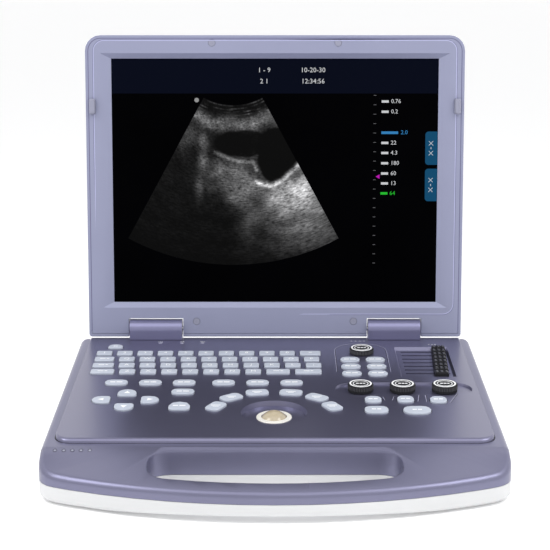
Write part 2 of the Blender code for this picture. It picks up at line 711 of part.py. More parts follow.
def make_sliders(deck):
    """Ribbed caps on flat stems that run in the tray's slots."""
    w, d = SLIDER[0] / 2, SLIDER[1] / 2
    low = -TRAY_DEPTH + GAP
    for i, (x, length) in enumerate(slider_places()):
        rings = []
        for inset, z in ((0.0, low), (0.2, SLIDER_H - 1.6), (1.6, SLIDER_H)):
            outline = box_outline(inset - w, w - inset, inset / 2 - d, d - inset / 2)
            rings.append([(a, b, z) for a, b in outline])
        cap = loft(rings)
        name = "tgc_slider_%d" % (i + 1)
        made = part(name, cap, deck, BLACK, (x, -length, 0))
        ribs = bmesh.new()
        for k in (-1, 1):
            box(k * 2.2 - 0.5, k * 2.2 + 0.5, -9, 9, SLIDER_H - 0.8, SLIDER_H + 2, ribs)
        boolean(made, cutter("cut_ribs_%d" % (i + 1), ribs, deck, (x, -length, 0)))
        stem = box(-3, 3, -SLIDER_STEM / 2, SLIDER_STEM / 2, -PANEL_SKIRT - 0.6, low + 1)
        boolean(made, cutter("join_stem_%d" % (i + 1), stem, deck, (x, -length, 0)), "UNION")


def make_trackball(deck):
    top = RING_PROUD - DISH_DEPTH
    place = (BALL_X, -BALL_L, top - math.sqrt((BALL_D / 2) ** 2 - (BALL_SHOW_D / 2) ** 2))
    ball = bmesh.new()
    bmesh.ops.create_uvsphere(ball, u_segments=20, v_segments=12, radius=BALL_D / 2 * MM)
    part("trackball", ball, deck, CREAM, place)
    outer, show = RING_D / 2, BALL_SHOW_D / 2 + 0.5
    low = top - RING_T
    profile = [(show, top), (outer - 0.5, top), (outer, top - 0.5), (outer, low), (show + 1.3, low)]
    turned("trackball_ring", profile, deck, IVORY, (BALL_X, -BALL_L, 0), 32)
    rim, room = BALL_D / 2 + 3.5, BALL_D / 2 + 1.0
    high, low = -PANEL_SKIRT - GAP, place[2] - BALL_D / 2 - 3
    made = part("trackball_housing", drum(0, 0, low, high, rim, 24), deck, BLACK, (BALL_X, -BALL_L, 0))
    boolean(made, cutter("cut_cup", drum(0, 0, low + 2, high + 3, room, 24), deck, (BALL_X, -BALL_L, 0)))


def make_panel_board(deck):
    x0, x1 = LEFT + 22, RIGHT - 22
    board = part("panel_board", box(x0, x1, -PANEL_L + 16, -14, BOARD_H - BOARD_T, BOARD_H), deck, BOARD)
    room = drum(BALL_X, -BALL_L, BOARD_H - 9, BOARD_H + 9, BALL_D / 2 + 4.5, 24)
    boolean(board, cutter("cut_board", room, deck))


# hinges

def hinge_profile():
    """Side view of a cover, as (y from the axis, H): round over the axis, straight to the deck."""
    deck_top = GAP - HINGE_AXIS_H
    front = [(-HINGE_R, deck_top)]
    turns = [math.pi * k / 10 for k in range(11)]
    arc = [(-HINGE_R * math.cos(a), HINGE_R * math.sin(a)) for a in turns]
    shelf = SHELF_Z + GAP + 0.7 - HINGE_AXIS_H
    step = -PANEL_REAR + 2.6
    return front + arc + [(HINGE_R, shelf), (step, shelf), (step, deck_top)]


def make_hinge_covers(deck):
    for side, name in ((-1, "hinge_cover_left"), (1, "hinge_cover_right")):
        half = HINGE_W / 2
        bm = loft([[(x, y, z) for y, z in hinge_profile()] for x in (-half, half)])
        made = part(name, bm, deck, HINGE, (side * HINGE_X, 0, HINGE_AXIS_H))
        bore = bmesh.new()
        reach = half - 12
        spot = Matrix.Translation((-side * (reach + 10) * MM, 0, 0)) @ Matrix.Rotation(math.pi / 2, 4, "Y")
        bmesh.ops.create_cone(bore, cap_ends=True, segments=16, radius1=(PIN_D / 2 + PIN_FIT) * MM,
                              radius2=(PIN_D / 2 + PIN_FIT) * MM, depth=20 * MM, matrix=spot)
        boolean(made, cutter("cut_bore_" + name, bore, deck, (side * HINGE_X, 0, HINGE_AXIS_H)))


def make_hinge_arms(lid):
    """Steel leaf in the lid, with the pin that turns in the base's cover."""
    inner = HINGE_X - NOTCH_W / 2
    for side, name in ((-1, "hinge_arm_left"), (1, "hinge_arm_right")):
        x1 = side * (inner - LID_WALL - 3)
        x0 = side * (inner - LID_WALL - 23)
        behind = LCD_FACE + LCD_T + 0.6
        leaf = box(min(x0, x1), max(x0, x1), behind, behind + 2.0, -2.0, 34.0)
        made = part(name, leaf, lid, STEEL)
        pin = bmesh.new()
        ends = (inner - LID_WALL - 15, inner + HINGE_SIDE_GAP + 10)
        spot = Matrix.Translation((side * sum(ends) / 2 * MM, 0, 0)) @ Matrix.Rotation(math.pi / 2, 4, "Y")
        bmesh.ops.create_cone(pin, cap_ends=True, segments=16, radius1=PIN_D / 2 * MM,
                              radius2=PIN_D / 2 * MM, depth=(ends[1] - ends[0]) * MM, matrix=spot)
        boolean(made, cutter("join_pin_" + name, pin, lid), "UNION")
        lug = box(min(x0, x1) + 2, max(x0, x1) - 2, 0.0, behind + 1.0, -1.5, 1.5)
        boolean(made, cutter("join_lug_" + name, lug, lid), "UNION")


# lid: Y runs back from the axis, Z up the lid

def lid_outline(inset):
    """(x, z) outline of the lid, anticlockwise from the lower left corner."""
    half, low, high = LID_W / 2 - inset, -LID_BELOW_AXIS + inset, LID_TOP - inset
    foot, top = max(LID_FOOT_CORNER - inset, 0.6), LID_CORNER - inset
    return rounded([(-half, low, foot), (half, low, foot), (half, high, top), (-half, high, top)], 5)


def notch_box(bm, grow, y0, y1):
    for side in (-1, 1):
        half = NOTCH_W / 2 + grow
        box(side * HINGE_X - half, side * HINGE_X + half, y0, y1, -LID_BELOW_AXIS - 9, NOTCH_TOP + grow, bm)
    return bm


def make_back_cover(lid):
    face, back = -LID_FACE_AHEAD, LID_T - LID_FACE_AHEAD
    rings = [[(x, face, z) for x, z in lid_outline(0)]]
    for inset, drop in edge_rings(LID_EDGE_R, 3):
        rings.append([(x, back - drop, z) for x, z in lid_outline(inset)])
    cover = part("lid_back_cover", loft(rings), lid, LID)
    room = loft([[(x, y, z) for x, z in lid_outline(LID_WALL)] for y in (face - 4, back - LID_WALL)])
    pocket = cutter("cut_lid_room", room, lid)
    walls = notch_box(bmesh.new(), LID_WALL, face + BEZEL_T + GAP, back + 4)
    boolean(pocket, cutter("keep_notch_walls", walls, lid))
    boolean(cover, pocket)
    boolean(cover, cutter("cut_notches", notch_box(bmesh.new(), 0.0, face - 6, back + 6), lid))
    pins = bmesh.new()
    room = PIN_D / 2 + PIN_FIT
    for side in (-1, 1):
        ends = sorted((side * (HINGE_X - NOTCH_W / 2 - LID_WALL - 24), side * (HINGE_X - NOTCH_W / 2 + 1)))
        box(*ends, -room, room, -room, room, pins)
    boolean(cover, cutter("cut_pin_channels", pins, lid))


def make_bezel(lid):
    face = -LID_FACE_AHEAD
    outline = lid_outline(LID_WALL + GAP)
    plate = loft([[(x, y, z) for x, z in outline] for y in (face, face + BEZEL_T)])
    bezel = part("lid_bezel", plate, lid, LID)
    rings = []
    for y in (-2.0, 0.0, BEZEL_T, BEZEL_T + 2.0):
        share = 1 - y / BEZEL_T
        w, h = LCD_W / 2 + BEZEL_SLOPE_W * share, LCD_H / 2 + BEZEL_SLOPE_H * share
        rings.append([(x, face + y, z) for x, z in box_outline(-w, w, LCD_MID - h, LCD_MID + h)])
    boolean(bezel, cutter("cut_window", loft(rings), lid))
    boolean(bezel, bpy.data.objects["cut_notches"])
    boolean(bezel, bpy.data.objects["cut_pin_channels"])
    caps = bmesh.new()
    for x, z in screw_places():
        disc(x, z, face - 2, face + 1.0, SCREW_CAP_D / 2 + 0.2, 16, caps)
    boolean(bezel, cutter("cut_caps", caps, lid))
    for i, (x, z) in enumerate(screw_places()):
        cap = disc(0, 0, 0.1, 1.0 - GAP, SCREW_CAP_D / 2, 16)
        part("screw_cap_%d" % (i + 1), cap, lid, GREY, (x, face, z))


def disc(x, z, y0, y1, radius, count, bm=None):
    bm = bm or bmesh.new()
    spot = Matrix.Translation(Vector((x, (y0 + y1) / 2, z)) * MM) @ Matrix.Rotation(math.pi / 2, 4, "X")
    bmesh.ops.create_cone(bm, cap_ends=True, segments=count, radius1=radius * MM, radius2=radius * MM,
                          depth=(y1 - y0) * MM, matrix=spot)
    return bm


def screw_places():
    top, low = LID_TOP - LID_WALL - SCREW_CAP_D / 2 - 1.2, 7.2
    return [(-58.5, top), (58.5, top), (-74.2, low), (74.2, low)]


def make_bumpers(lid):
    w, h, d = BUMPER
    x, z = LID_W / 2 - 6.4, LID_TOP - BUMPER_DROP
    face = -LID_FACE_AHEAD
    for side, name in ((-1, "bumper_left"), (1, "bumper_right")):
        made = part(name, box(-w / 2, w / 2, -d - GAP, -GAP, -h / 2, h / 2), lid, GREY, (side * x, face, z))
        bevel(made, 1.2, 1)


def make_lcd(lid):
    w, h = LCD_W / 2 + LCD_FRAME, LCD_H / 2 + LCD_FRAME
    slab = box(-w, w, LCD_FACE, LCD_FACE + LCD_T, LCD_MID - h, LCD_MID + h)
    part("lcd_panel", slab, lid, SCREEN)


# inside and at the sides

def make_sockets(base):
    length, high, deep = SOCKET
    for i, y in enumerate(SOCKET_Y):
        body = box(-deep, 0, -length / 2, length / 2, -high / 2, high / 2)
        place = (HALF_W + 0.2, y, SOCKET_Z)
        made = part("probe_socket_%d" % (i + 1), body, base, GREY, place)
        room = box(-CAVITY[2], 5, -CAVITY[0] / 2, CAVITY[0] / 2, -CAVITY[1] / 2, CAVITY[1] / 2)
        boolean(made, cutter("cut_cavity_%d" % (i + 1), room, base, place))


def make_ports(base):
    length, high, deep = PORTS
    made = part("io_panel", box(0, deep, -length / 2, length / 2, -high / 2, high / 2), base, BLACK,
                (-HALF_W - 0.2, PORTS_Y, PORTS_Z))
    ports = bmesh.new()
    for y, w, h in ((-30, 14, 6.4), (-11, 14, 6.4), (10, 15, 11), (30, 9, 9)):
        box(-3, 3.6, y - w / 2, y + w / 2, -h / 2, h / 2, ports)
    boolean(made, cutter("cut_port_row", ports, base, (-HALF_W - 0.2, PORTS_Y, PORTS_Z)))


def make_inside(base):
    floor = CASE_Z + WALL + GAP
    part("battery_pack", box(-150, -20, -100, -20, floor, floor + 16), base, BLACK)
    board = box(-130, 130, CREASE_Y + 26, -112, floor + 6, floor + 6 + BOARD_T)
    made = part("main_board", board, base, BOARD)
    x, y = BALL_X, -BALL_L * math.cos(SLOPE)
    room = drum(x, y, floor, floor + 20, BALL_D / 2 + 7.0, 24)
    boolean(made, cutter("cut_ball_room", room, base))
    x, y, z = FAN_X, REAR_Y - WALL - 1.0 - FAN[1] / 2, FAN_Z
    size = FAN[0] / 2
    made = part("fan_housing", box(-size, size, -FAN[1] / 2, FAN[1] / 2, -size, size), base, BLACK, (x, y, z))
    duct = disc(0, 0, -FAN[1], FAN[1], size - 1.4, 24)
    boolean(made, cutter("cut_duct", duct, base, (x, y, z)))
    rotor = part("fan_rotor", disc(0, 0, -FAN[1] / 2 + 1, FAN[1] / 2 - 1, 8.0, 12), base, BLACK, (x, y, z))
    blades = bmesh.new()
    for k in range(7):
        turn = Matrix.Rotation(2 * math.pi * k / 7, 4, "Y")
        pitch = Matrix.Rotation(math.radians(38), 4, "Z")
        size4 = Matrix.Diagonal((0.0012, (FAN[1] - 2.6) * MM, 0.0105, 1))
        spot = turn @ Matrix.Translation((0, 0, 0.0122)) @ pitch
        bmesh.ops.create_cube(blades, size=1.0, matrix=spot @ size4)
    boolean(rotor, cutter("join_blades", blades, base, (x, y, z)), "UNION")


def centre_over_origin(base):
    """Moves the whole model along Y until the origin lies under its middle."""
    bpy.context.view_layer.update()
    solids = [obj for obj in PARTS.objects if obj.type == "MESH"]
    reach = [(obj.matrix_world @ v.co).y for obj in solids for v in obj.data.vertices]
    base.location.y = -(min(reach) + max(reach)) / 2


clear_scene()
PARTS = collection("ultrasound_scanner")
CUTTERS = collection("cutters")
base = empty("base_frame", None, (0, 0, -FLOOR_Z), 0)
deck = empty("deck_frame", base, (0, 0, 0), DECK_SLOPE)
lid = empty("lid_frame", deck, (0, 0, HINGE_AXIS_H), -DECK_SLOPE - LID_LEAN)

make_frame(base, deck)
make_case(base)
make_panel(deck)
make_keypad(deck)
make_free_keys(deck)
make_knobs(deck)
make_sliders(deck)
make_trackball(deck)
make_panel_board(deck)
make_hinge_covers(deck)
make_back_cover(lid)
make_bezel(lid)
make_lcd(lid)
make_bumpers(lid)
make_hinge_arms(lid)
make_sockets(base)
make_ports(base)
make_inside(base)
centre_over_origin(base)
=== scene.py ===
import json
import math

import bmesh
import bpy
from mathutils import Matrix, Vector, noise
from mathutils.bvhtree import BVHTree

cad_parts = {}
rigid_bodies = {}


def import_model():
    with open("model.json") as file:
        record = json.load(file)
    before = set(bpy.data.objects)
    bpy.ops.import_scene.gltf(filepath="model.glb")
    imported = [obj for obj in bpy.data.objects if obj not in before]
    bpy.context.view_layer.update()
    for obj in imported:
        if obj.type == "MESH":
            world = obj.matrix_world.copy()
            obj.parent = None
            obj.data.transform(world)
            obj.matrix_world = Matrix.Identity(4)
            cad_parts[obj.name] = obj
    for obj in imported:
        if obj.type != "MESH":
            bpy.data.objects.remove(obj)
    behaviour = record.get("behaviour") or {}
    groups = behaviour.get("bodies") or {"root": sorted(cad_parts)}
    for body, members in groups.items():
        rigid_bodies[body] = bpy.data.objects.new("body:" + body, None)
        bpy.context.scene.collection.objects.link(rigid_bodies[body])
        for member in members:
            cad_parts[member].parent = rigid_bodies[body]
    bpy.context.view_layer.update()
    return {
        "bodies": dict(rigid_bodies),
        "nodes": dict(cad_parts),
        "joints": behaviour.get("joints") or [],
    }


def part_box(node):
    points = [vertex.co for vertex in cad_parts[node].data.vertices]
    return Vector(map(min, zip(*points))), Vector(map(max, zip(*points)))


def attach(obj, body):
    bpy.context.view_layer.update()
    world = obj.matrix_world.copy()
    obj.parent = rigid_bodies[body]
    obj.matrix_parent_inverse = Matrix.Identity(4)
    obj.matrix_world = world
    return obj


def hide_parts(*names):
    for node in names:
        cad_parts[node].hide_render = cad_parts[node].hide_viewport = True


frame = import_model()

MM = 0.001


# ---------------------------------------------------------------------------
# Studio. A plain white table top in a white room whose ceiling is darker, with
# a soft light high on each side that draws the bright lines along the rounded
# corners, and a camera in front of the scanner, a little above the keys.
def soft_light(name, size, place, aim, watts):
    """A rectangular area lamp, in metres, turned towards a point."""
    lamp = bpy.data.lights.new(name, "AREA")
    lamp.shape = "RECTANGLE"
    lamp.size, lamp.size_y = size
    lamp.energy = watts
    holder = bpy.data.objects.new(name, lamp)
    bpy.context.scene.collection.objects.link(holder)
    holder.location = place
    holder.rotation_euler = (Vector(aim) - Vector(place)).to_track_quat("-Z", "Y").to_euler()


def two_tone(nodes, dark, light, start=0.0, stop=1.0):
    """A colour ramp from one colour to the other between two positions."""
    ramp = nodes.new("ShaderNodeValToRGB")
    ramp.color_ramp.elements[0].position = start
    ramp.color_ramp.elements[0].color = (*dark, 1)
    ramp.color_ramp.elements[1].position = stop
    ramp.color_ramp.elements[1].color = (*light, 1)
    return ramp


CAMERA_TILT = 11.813  # degrees down from level
camera = bpy.data.objects.new("camera", bpy.data.cameras.new("camera"))
bpy.context.scene.collection.objects.link(camera)
camera.data.sensor_width = 36.0
camera.data.lens = 100.15
camera.data.clip_end = 200.0
camera.location = (0.0, -1.2617, 0.4147)
camera.rotation_euler = (math.radians(90 - CAMERA_TILT), 0, 0)
bpy.context.scene.camera = camera
bpy.context.scene.view_settings.view_transform = "Standard"

world = bpy.data.worlds.new("white_room")
bpy.context.scene.world = world
world.use_nodes = True
nodes, links = world.node_tree.nodes, world.node_tree.links
towards = nodes.new("ShaderNodeTexCoord")
split = nodes.new("ShaderNodeSeparateXYZ")
links.new(towards.outputs["Generated"], split.inputs["Vector"])
ceiling = two_tone(nodes, (1.0, 1.0, 1.0), (0.68, 0.68, 0.69), 0.72, 0.97)
links.new(split.outputs["Z"], ceiling.inputs["Fac"])
front_wall = two_tone(nodes, (0.74, 0.74, 0.74), (1.0, 1.0, 1.0), 0.15, 0.60)
links.new(split.outputs["Y"], front_wall.inputs["Fac"])
room = nodes.new("ShaderNodeVectorMath")
room.operation = "MULTIPLY"
links.new(ceiling.outputs["Color"], room.inputs[0])
links.new(front_wall.outputs["Color"], room.inputs[1])
links.new(room.outputs["Vector"], nodes["Background"].inputs["Color"])
nodes["Background"].inputs["Strength"].default_value = 1.12

deck_middle = (0, -0.05, 0.05)
soft_light("overhead_light", (1.7, 1.0), (0.0, -0.6, 1.2), deck_middle, 6)
soft_light("left_light", (0.5, 0.6), (-0.95, -0.45, 1.05), deck_middle, 5)
soft_light("right_light", (0.5, 0.6), (0.95, -0.45, 1.05), deck_middle, 5)

REACH = 60  # metres from the middle of the table to each edge
table = bpy.data.meshes.new("table_top")
table.from_pydata([(-REACH, -REACH, 0), (REACH, -REACH, 0), (REACH, REACH, 0), (-REACH, REACH, 0)],
                  [], [(0, 1, 2, 3)])
table_top = bpy.data.objects.new("table_top", table)
bpy.context.scene.collection.objects.link(table_top)
top_look = bpy.data.materials.new("table_white")
top_look.use_nodes = True
nodes, links = top_look.node_tree.nodes, top_look.node_tree.links
surface = nodes["Principled BSDF"]
surface.inputs["Roughness"].default_value = 0.6
surface.inputs["Specular IOR Level"].default_value = 0.2
surface.inputs["Emission Color"].default_value = (1, 1, 1, 1)
surface.inputs["Emission Strength"].default_value = 0.14
fibre = nodes.new("ShaderNodeTexNoise")
fibre.inputs["Scale"].default_value = 3.0
shades = two_tone(nodes, (0.965, 0.965, 0.97), (0.985, 0.985, 0.985))
links.new(fibre.outputs["Fac"], shades.inputs["Fac"])
links.new(shades.outputs["Color"], surface.inputs["Base Color"])
table.materials.append(top_look)


# ---------------------------------------------------------------------------
# Lower case. One off-white ABS moulding, spark-eroded to a fine satin grain,
# screwed up into the frame from below with six pan-head screws.
def moulding(name, dark, light, rough, grain=1800.0, depth=0.15, cloud=14.0,
             coat=0.0, metal=0.0, specular=0.5):
    """A plastic or painted surface: cloudy colour, fine grain, uneven gloss."""
    look = bpy.data.materials.new(name)
    look.use_nodes = True
    nodes, links = look.node_tree.nodes, look.node_tree.links
    skin = nodes["Principled BSDF"]
    skin.inputs["Metallic"].default_value = metal
    skin.inputs["Coat Weight"].default_value = coat
    skin.inputs["Coat Roughness"].default_value = 0.12
    skin.inputs["Specular IOR Level"].default_value = specular
    where = nodes.new("ShaderNodeTexCoord")
    patches = nodes.new("ShaderNodeTexNoise")
    patches.inputs["Scale"].default_value = cloud
    patches.inputs["Detail"].default_value = 4.0
    links.new(where.outputs["Object"], patches.inputs["Vector"])
    flecks = nodes.new("ShaderNodeTexNoise")
    flecks.inputs["Scale"].default_value = grain
    flecks.inputs["Detail"].default_value = 2.0
    links.new(where.outputs["Object"], flecks.inputs["Vector"])
    blend = nodes.new("ShaderNodeMath")
    blend.operation = "MULTIPLY_ADD"
    blend.inputs[1].default_value = 0.35
    links.new(flecks.outputs["Fac"], blend.inputs[0])
    share = nodes.new("ShaderNodeMath")
    share.operation = "MULTIPLY"
    share.inputs[1].default_value = 0.65
    links.new(patches.outputs["Fac"], share.inputs[0])
    links.new(share.outputs["Value"], blend.inputs[2])
    tint = two_tone(nodes, dark, light, 0.3, 0.7)
    links.new(blend.outputs["Value"], tint.inputs["Fac"])
    links.new(tint.outputs["Color"], skin.inputs["Base Color"])
    gloss = nodes.new("ShaderNodeMapRange")
    gloss.inputs["To Min"].default_value = rough - 0.04
    gloss.inputs["To Max"].default_value = rough + 0.04
    links.new(patches.outputs["Fac"], gloss.inputs["Value"])
    links.new(gloss.outputs["Result"], skin.inputs["Roughness"])
    relief = nodes.new("ShaderNodeBump")
    relief.inputs["Strength"].default_value = depth
    relief.inputs["Distance"].default_value = 0.00006
    links.new(flecks.outputs["Fac"], relief.inputs["Height"])
    links.new(relief.outputs["Normal"], skin.inputs["Normal"])
    return look


def even_shading(piece, edge, angle=30):
    """Breaks the sharp edges and shades the faces evenly, as moulded parts are."""
    if edge:
        broken = piece.modifiers.new("broken_edges", "BEVEL")
        broken.width = edge * MM
        broken.segments = 2
        broken.limit_method = "ANGLE"
        broken.angle_limit = math.radians(angle)
        broken.use_clamp_overlap = True
    evened = piece.modifiers.new("even_faces", "WEIGHTED_NORMAL")
    evened.keep_sharp = False
    evened.weight = 60
    for face in piece.data.polygons:
        face.use_smooth = True


def finished(node, look, body, edge=0.25, angle=30):
    """The moulding in its final finish, with its edges broken, in place of the bare part."""
    bm = bmesh.new()
    bm.from_mesh(frame["nodes"][node].data)
    bmesh.ops.remove_doubles(bm, verts=bm.verts, dist=2e-6)
    bmesh.ops.dissolve_limit(bm, angle_limit=math.radians(0.3), verts=bm.verts, edges=bm.edges)
    mesh = bpy.data.meshes.new(node + "_finished")
    bm.to_mesh(mesh)
    bm.free()
    piece = bpy.data.objects.new(node + "_finished", mesh)
    bpy.context.scene.collection.objects.link(piece)
    mesh.materials.append(look)
    even_shading(piece, edge, angle)
    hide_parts(node)
    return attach(piece, body)


def made(name, bm, look, body, edge=0.0):
    """Turns drawn geometry, in metres and in place, into a piece on its body."""
    bmesh.ops.recalc_face_normals(bm, faces=bm.faces)
    mesh = bpy.data.meshes.new(name)
    bm.to_mesh(mesh)
    bm.free()
    mesh.materials.append(look)
    piece = bpy.data.objects.new(name, mesh)
    bpy.context.scene.collection.objects.link(piece)
    if edge:
        even_shading(piece, edge)
    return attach(piece, body)


def spun(bm, profile, place, steps=24, ring=False):
    """A turned solid, or a ring, in millimetres: (radius, height) pairs down from the top."""
    rings = []
    for radius, height in profile:
        if radius == 0:
            rings.append([bm.verts.new(place @ Vector((0, 0, height * MM)))])
            continue
        turns = [2 * math.pi * i / steps for i in range(steps)]
        spots = [Vector((math.cos(a) * radius, math.sin(a) * radius, height)) * MM for a in turns]
        rings.append([bm.verts.new(place @ spot) for spot in spots])
    if ring:
        rings.append(rings[0])
    for upper, lower in zip(rings, rings[1:]):
        for i in range(steps):
            j = (i + 1) % steps
            corners = [upper[i % len(upper)], lower[i % len(lower)],
                       lower[j % len(lower)], upper[j % len(upper)]]
            corners = list(dict.fromkeys(corners))
            if len(corners) > 2:
                bm.faces.new(corners)
    for end in (rings[0], rings[-1]):
        if len(end) > 1 and not ring:
            bm.faces.new(end)


pale_abs = moulding("pale_abs", (0.62, 0.625, 0.635), (0.68, 0.685, 0.69), 0.42, grain=2400, depth=0.25)
finished("bottom_case", pale_abs, "base", edge=0.3)
zinc = moulding("zinc_plate", (0.50, 0.50, 0.51), (0.62, 0.62, 0.62), 0.32, grain=3000, depth=0.1, metal=1.0)
case_low, case_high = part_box("bottom_case")
screw_head = [(0, 0.25), (1.1, 0.3), (1.3, 0.95), (2.0, 0.95), (2.7, 0.6), (3.0, 0.2), (3.0, -0.5), (0, -0.5)]
screws = bmesh.new()
for x in (-0.120, 0.0, 0.120):
    for y in (case_high.y - 0.016, case_low.y + 0.100):
        upside_down = Matrix.Translation((x, y, case_low.z)) @ Matrix.Rotation(math.pi, 4, "X")
        spun(screws, screw_head, upside_down)
made("case_screws", screws, zinc, "base", edge=0.05)


# ---------------------------------------------------------------------------
# Feet. Four soft black rubber discs, pressed into round seats in the lower
# case; their sides are slightly tapered and the faces are matte.
foot_rubber = moulding("foot_rubber", (0.035, 0.035, 0.036), (0.055, 0.055, 0.056), 0.82,
                       grain=1500, depth=0.35)
for n in (1, 2, 3, 4):
    finished("foot_%d" % n, foot_rubber, "base", edge=0.2)


# ---------------------------------------------------------------------------
# Frame and carrying handle. A thick ABS shell sprayed with a violet satin
# lacquer that has a little metallic flake; the handle's rim is well rounded.
violet_lacquer = moulding("violet_lacquer", (0.176, 0.175, 0.264), (0.200, 0.199, 0.298), 0.34,
                          grain=5200, depth=0.04, cloud=7, metal=0.6)
finished("top_frame", violet_lacquer, "base", edge=0.35)

# Where the flat deck lies, from the joints that turn and press on it: its
# surface is 8.8 mm below the hinge line.
joints = {joint["name"]: joint for joint in frame["joints"]}
deck_up = Vector(joints["power_button_press"]["axis"]).normalized()
deck_back = Vector((0, deck_up.z, -deck_up.y))
hinge_line = Vector(joints["lid_hinge"]["pos_m"])
HINGE_HEIGHT = 8.8
deck_foot = hinge_line - deck_up * HINGE_HEIGHT * MM
DECK = Matrix((
    (1, 0, 0, 0),
    (0, deck_back.y, deck_up.y, deck_foot.y),
    (0, deck_back.z, deck_up.z, deck_foot.z),
    (0, 0, 0, 1)))


def at(place, x, y, height=0.0):
    """The frame of reference moved to a spot given in its own millimetres."""
    return place @ Matrix.Translation(Vector((x, y, height)) * MM)


def on_top_of(node, x, y):
    """A frame of reference on the node's upper surface at (x, y), in metres."""
    mesh = frame["nodes"][node].data
    skin = BVHTree.FromPolygons([v.co for v in mesh.vertices], [p.vertices for p in mesh.polygons])
    point, normal, _, _ = skin.ray_cast(Vector((x, y, 0.5)), Vector((0, 0, -1)))
    return Matrix.Translation(point) @ normal.to_track_quat("Z", "Y").to_matrix().to_4x4()


# Five small status lights near the handle's left end, each a clear lens in a
# dark ring set flush in the shell.
lens_ring = bmesh.new()
lens = bmesh.new()
for x in (-172.2, -165.3, -158.6, -151.8, -144.9):
    spot = DECK @ (Vector((x, -268.9, 0)) * MM)
    seat = on_top_of("top_frame", spot.x, spot.y)
    spun(lens_ring, [(1.35, 0.10), (1.75, 0.10), (1.85, -0.3), (1.25, -0.3)], seat, 20, ring=True)
    spun(lens, [(0, 0.16), (0.5, 0.14), (0.9, 0.06), (1.0, -0.3), (0, -0.3)], seat, 16)
ring_ink = moulding("ring_ink", (0.075, 0.075, 0.11), (0.10, 0.10, 0.14), 0.5)
lens_plastic = moulding("lens_plastic", (0.26, 0.27, 0.34), (0.34, 0.35, 0.42), 0.15, coat=0.6)
made("status_light_rings", lens_ring, ring_ink, "base")
made("status_light_lenses", lens, lens_plastic, "base")


# ---------------------------------------------------------------------------
# Probe sockets and side connectors. Glass-filled black and grey plastic blocks
# clamped behind the side walls; rows of gold springs lie inside each socket and
# plated steel shells line the connectors.
socket_grey = moulding("socket_grey", (0.20, 0.21, 0.24), (0.26, 0.27, 0.30), 0.5, grain=1300, depth=0.3)
socket_black = moulding("socket_black", (0.022, 0.022, 0.025), (0.035, 0.035, 0.038), 0.45,
                        grain=1700, depth=0.3)
gold = moulding("gold_contact", (0.72, 0.50, 0.18), (0.80, 0.58, 0.24), 0.25,
                grain=4000, depth=0.05, metal=1.0)


def slab(bm, low, high, place=Matrix.Identity(4)):
    """A straight block between two corners in millimetres."""
    span = Vector(high) - Vector(low)
    middle = (Vector(high) + Vector(low)) / 2
    size = Matrix.Diagonal((*[abs(s) * MM for s in span], 1))
    bmesh.ops.create_cube(bm, size=1.0, matrix=place @ Matrix.Translation(middle * MM) @ size)


CONTACTS, CONTACT_PITCH = 26, 1.55
for n in (1, 2):
    finished("probe_socket_%d" % n, socket_grey, "base", edge=0.4)
    socket_low, socket_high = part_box("probe_socket_%d" % n)
    mouth = Matrix.Translation((socket_high.x, (socket_low.y + socket_high.y) / 2,
                                (socket_low.z + socket_high.z) / 2))
    springs = bmesh.new()
    for row in (-4.2, 4.2):
        for k in range(CONTACTS):
            y = (k - (CONTACTS - 1) / 2) * CONTACT_PITCH
            slab(springs, (-13.9, y - 0.35, row - 0.5), (-4.0, y + 0.35, row + 0.5), mouth)
    made("probe_contacts_%d" % n, springs, gold, "base")
    blade = bmesh.new()
    slab(blade, (-14.0, -20.6, -1.6), (-3.0, 20.6, 1.6), mouth)
    made("probe_tongue_%d" % n, blade, socket_black, "base", edge=0.4)

finished("io_panel", socket_black, "base", edge=0.2)
panel_low, panel_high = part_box("io_panel")
panel = Matrix.Translation((panel_low.x, (panel_low.y + panel_high.y) / 2, (panel_low.z + panel_high.z) / 2))
shells = bmesh.new()
tongues = bmesh.new()
for y, wide, tall in ((-30, 14, 6.4), (-11, 14, 6.4), (10, 15, 11)):
    for side in (-1, 1):
        wall = y + side * (wide / 2 - 0.25)
        slab(shells, (0.15, wall - 0.2, -tall / 2 + 0.1), (3.5, wall + 0.2, tall / 2 - 0.1), panel)
        wall = side * (tall / 2 - 0.25)
        slab(shells, (0.15, y - wide / 2 + 0.5, wall - 0.2), (3.5, y + wide / 2 - 0.5, wall + 0.2), panel)
    slab(tongues, (0.6, y - wide / 2 + 1.4, -0.9), (3.6, y + wide / 2 - 1.4, 0.9), panel)
round_mouth = panel @ Matrix.Translation((0.0002, 0.03, 0)) @ Matrix.Rotation(-math.pi / 2, 4, "Y")
spun(shells, [(3.0, 0), (3.9, 0), (3.9, -3.4), (3.0, -3.4)], round_mouth, 24, ring=True)
made("connector_shells", shells, zinc, "base")
made("connector_tongues", tongues, pale_abs, "base")


# ---------------------------------------------------------------------------
# Inside. A main board behind the handle, a keypad board under the deck, a
# shrink-wrapped battery and a small fan; the cover hides all but the fan.
circuit_green = moulding("circuit_green", (0.012, 0.10, 0.045), (0.02, 0.15, 0.07), 0.35,
                         grain=700, depth=0.5, cloud=160)
battery_film = moulding("battery_film", (0.018, 0.018, 0.02), (0.035, 0.035, 0.04), 0.28,
                        grain=500, depth=0.3)
fan_black = moulding("fan_black", (0.02, 0.02, 0.022), (0.032, 0.032, 0.035), 0.5, grain=1600, depth=0.2)
for node, look in (("main_board", circuit_green), ("panel_board", circuit_green),
                   ("battery_pack", battery_film), ("fan_housing", fan_black),
                   ("fan_rotor", fan_black), ("trackball_housing", socket_black)):
    frame["nodes"][node].data.materials.clear()
    frame["nodes"][node].data.materials.append(look)
board_low, board_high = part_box("main_board")
board_top = board_high.z * 1000
ball_centre = Vector(joints["trackball_roll"]["pos_m"])
BALL_ROOM = 20  # radius kept free round the trackball
chips = bmesh.new()
